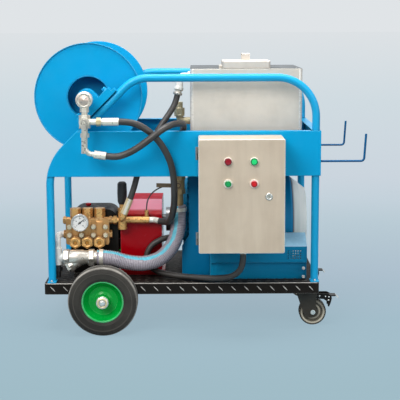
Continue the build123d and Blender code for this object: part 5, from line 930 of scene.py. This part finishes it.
def route(name, points, steps=12):
    """Smooth line with the route's points as its control points."""
    curve = bpy.data.curves.new(name, "CURVE")
    curve.dimensions = "3D"
    curve.resolution_u = steps
    line = curve.splines.new("NURBS")
    line.points.add(len(points) - 1)
    for spot, point in zip(line.points, points):
        spot.co = (*point, 1.0)
    line.order_u = 3
    line.use_endpoint_u = True
    return bpy.data.objects.new(name, curve)


def declare(piece, node, slot, points, diameter, length, stiffness, **more):
    """Set a hose on the chassis in place of its solid."""
    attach(piece, "chassis")
    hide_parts(node)


def hose(name, node, points, diameter, length, stiffness):
    """Round hose on its route."""
    piece = route(name, points)
    piece.data.bevel_depth = diameter / 2
    piece.data.bevel_resolution = 6
    piece.data.materials.append(HOSE)
    scene.collection.objects.link(piece)
    declare(piece, node, "hose_black", points, diameter, length, stiffness)


hose("feed_hose_line", "feed_hose", FEED, 0.024, 0.571, "stiff")
hose("relief_hose_line", "relief_hose", RELIEF, 0.024, 0.471, "stiff")
hose("bypass_hose_line", "bypass_hose", BYPASS, 0.022, 0.423, "stiff")
hose("conduit_line", "power_conduit", CONDUIT, 0.022, 0.653, "medium")
hose("switch_cable_line", "switch_cable", CABLE, 0.005, 0.222, "medium")

# Suction hose: ribs along it with painted shade in the grooves between them, and a stripe that turns from the
# near side towards the inside of its bend
RIB_PITCH, RIB_DEPTH, RIB_SIDES, GROOVE_FROM = 0.0062, 0.0018, 60, 0.25
STRIPE_START, STRIPE_TURN, STRIPE_HALF = 78, 36, 14
BEND_HEART = Vector((-0.205, -0.150, 0.420))


def ribbed_hose(points, diameter, length):
    """Wire-wound hose with painted shade in the grooves between its ribs."""
    guide = route("suction_guide", points, 64)
    line = bpy.data.meshes.new_from_object(guide)
    spots = [v.co.copy() for v in line.vertices]
    bpy.data.objects.remove(guide)
    bpy.data.meshes.remove(line)
    tube = Forge()
    rings = []
    deep = []
    gone = 0.0
    for k, spot in enumerate(spots):
        run = (spots[min(k + 1, len(spots) - 1)] - spots[max(k - 1, 0)]).normalized()
        gone += (spot - spots[k - 1]).length if k else 0.0
        inward = BEND_HEART - spot
        inward = (inward - run * inward.dot(run)).normalized()
        side = run.cross(inward)
        if side.dot(TO_NEAR) < 0:
            side = -side
        wave = cos(2 * pi * gone / RIB_PITCH)
        radius = diameter / 2 - RIB_DEPTH * (1 + wave) / 2
        deep.append(wave > GROOVE_FROM)
        turns = [2 * pi * step / RIB_SIDES for step in range(RIB_SIDES)]
        rings.append([tube.corner(spot + (inward * cos(a) + side * sin(a)) * radius) for a in turns])
    for k, (low, high) in enumerate(zip(rings, rings[1:])):
        stripe = STRIPE_START - STRIPE_TURN * k / len(rings)
        for step in range(RIB_SIDES):
            after = (step + 1) % RIB_SIDES
            striped = abs((step + 0.5) * 360 / RIB_SIDES - stripe) < STRIPE_HALF
            tube.face([low[step], low[after], high[after], high[step]], 2 if striped else int(deep[k]), True)
    tube.face(rings[0][::-1])
    tube.face(rings[-1])
    piece = tube.done("suction_hose_line", "chassis", "clear_hose", CLEAR, GROOVE_SHADE, CYAN)
    path = [tuple(s) for s in spots]
    declare(piece, "suction_hose", "clear_hose", points, diameter, length, "stiff", path=path)


ribbed_hose(SUCTION, 0.057, 0.457)

# Floor, whose tone runs back from the front of the view and closes up with distance
FLOOR_HALF = 200
TONE_FRONT, TONE_FROM, TONE_LEAST = 3.25, 4.19, 0.5
SHADOW_NEAR, SHADOW_FAR, SHADOW_GLOW = 0.9, 3.0, 0.82
HALF_TONE = (0.50, 0.50, 0.50, 1.0)
floor_mesh = bpy.data.meshes.new("floor")
floor_corners = [(x * FLOOR_HALF, y * FLOOR_HALF, 0) for x, y in ((-1, -1), (1, -1), (1, 1), (-1, 1))]
floor_mesh.from_pydata(floor_corners, [], [(0, 1, 2, 3)])
floor = bpy.data.objects.new("floor", floor_mesh)
scene.collection.objects.link(floor)
ground = Shade("floor", srgb(180, 200, 213), 0.9, specular=0.0)
back = ground.math("ADD", ground.axes()["Y"], TONE_FROM)
near = ground.math("DIVIDE", TONE_FRONT, ground.math("MAXIMUM", back, TONE_LEAST))
ramp = ground.add("ShaderNodeValToRGB", Fac=near)
stops = ((0.0, (222, 226, 229)), (0.2, (208, 219, 225)), (0.4, (203, 213, 222)), (0.53, (188, 206, 216)),
         (0.67, (179, 198, 212)), (0.8, (168, 194, 207)), (1.0, (163, 191, 202)))
bands = ramp.color_ramp.elements
while len(bands) < len(stops):
    bands.new(1.0)
for band, (spot, tone) in zip(bands, stops):
    band.position = spot
    band.color = srgb(*tone)
pale = ramp.outputs["Color"]
glow = ground.add("ShaderNodeEmission", Color=pale, Strength=1.0)
rays = ground.add("ShaderNodeLightPath").outputs
camera_ray = rays["Is Camera Ray"]
mirrored = ground.mix(rays["Is Glossy Ray"], srgb(104, 116, 124), pale)
ground.colour(ground.mix(camera_ray, mirrored, ground.mix(1.0, pale, HALF_TONE, "MULTIPLY")))
away = ground.add("ShaderNodeVectorMath", Vector=ground.place)
away.operation = "LENGTH"
shadow = ground.span(away.outputs["Value"], SHADOW_NEAR, SHADOW_FAR, SHADOW_GLOW, 1.0)
share = ground.math("MULTIPLY", camera_ray, shadow)
cover = ground.add("ShaderNodeMixShader")
ground.put(cover.inputs[0], share)
ground.put(cover.inputs[1], ground.bsdf.outputs[0])
ground.put(cover.inputs[2], glow.outputs[0])
ground.put(ground.tree.nodes["Material Output"].inputs["Surface"], cover.outputs[0])
floor_mesh.materials.append(ground.material)

# World: even light on the object, the pale backdrop to the camera and in reflections
world = bpy.data.worlds.new("studio")
scene.world = world
world.use_nodes = True
sky = world.node_tree
lit = sky.nodes["Background"]
lit.inputs["Color"].default_value = (0.97, 0.985, 1.0, 1)
lit.inputs["Strength"].default_value = 0.26
seen = sky.nodes.new("ShaderNodeBackground")
seen.inputs["Color"].default_value = srgb(224, 228, 231)
seen.inputs["Strength"].default_value = 1.0
path = sky.nodes.new("ShaderNodeLightPath")
direct = sky.nodes.new("ShaderNodeMath")
direct.operation = "MAXIMUM"
both = sky.nodes.new("ShaderNodeMath")
both.operation = "MAXIMUM"
sky.links.new(path.outputs["Is Camera Ray"], direct.inputs[0])
sky.links.new(path.outputs["Is Glossy Ray"], direct.inputs[1])
sky.links.new(direct.outputs[0], both.inputs[0])
sky.links.new(path.outputs["Is Transmission Ray"], both.inputs[1])
blend = sky.nodes.new("ShaderNodeMixShader")
sky.links.new(both.outputs[0], blend.inputs[0])
sky.links.new(lit.outputs[0], blend.inputs[1])
sky.links.new(seen.outputs[0], blend.inputs[2])
sky.links.new(blend.outputs[0], sky.nodes["World Output"].inputs["Surface"])

# Lamps, all aimed at the middle of the machine
AIM = Vector((0, 0, 0.5))
for name, at, wide, deep, power, colour in (
    ("key", (-1.8, -3.6, 3.2), 2.2, 2.2, 140, (1.0, 0.985, 0.96)),
    ("fill", (2.8, -3.2, 1.8), 2.4, 2.4, 46, (0.97, 0.985, 1.0)),
    ("top", (0.0, -0.5, 3.6), 2.8, 1.3, 120, (1.0, 1.0, 1.0)),
    ("back", (0.8, 3.2, 3.0), 2.4, 2.4, 40, (1.0, 1.0, 1.0)),
):
    lamp = bpy.data.lights.new(name, "AREA")
    lamp.shape = "RECTANGLE"
    lamp.size = wide
    lamp.size_y = deep
    lamp.energy = power
    lamp.color = colour
    holder = bpy.data.objects.new(name, lamp)
    holder.location = at
    holder.rotation_euler = (AIM - Vector(at)).to_track_quat("-Z", "Y").to_euler()
    scene.collection.objects.link(holder)
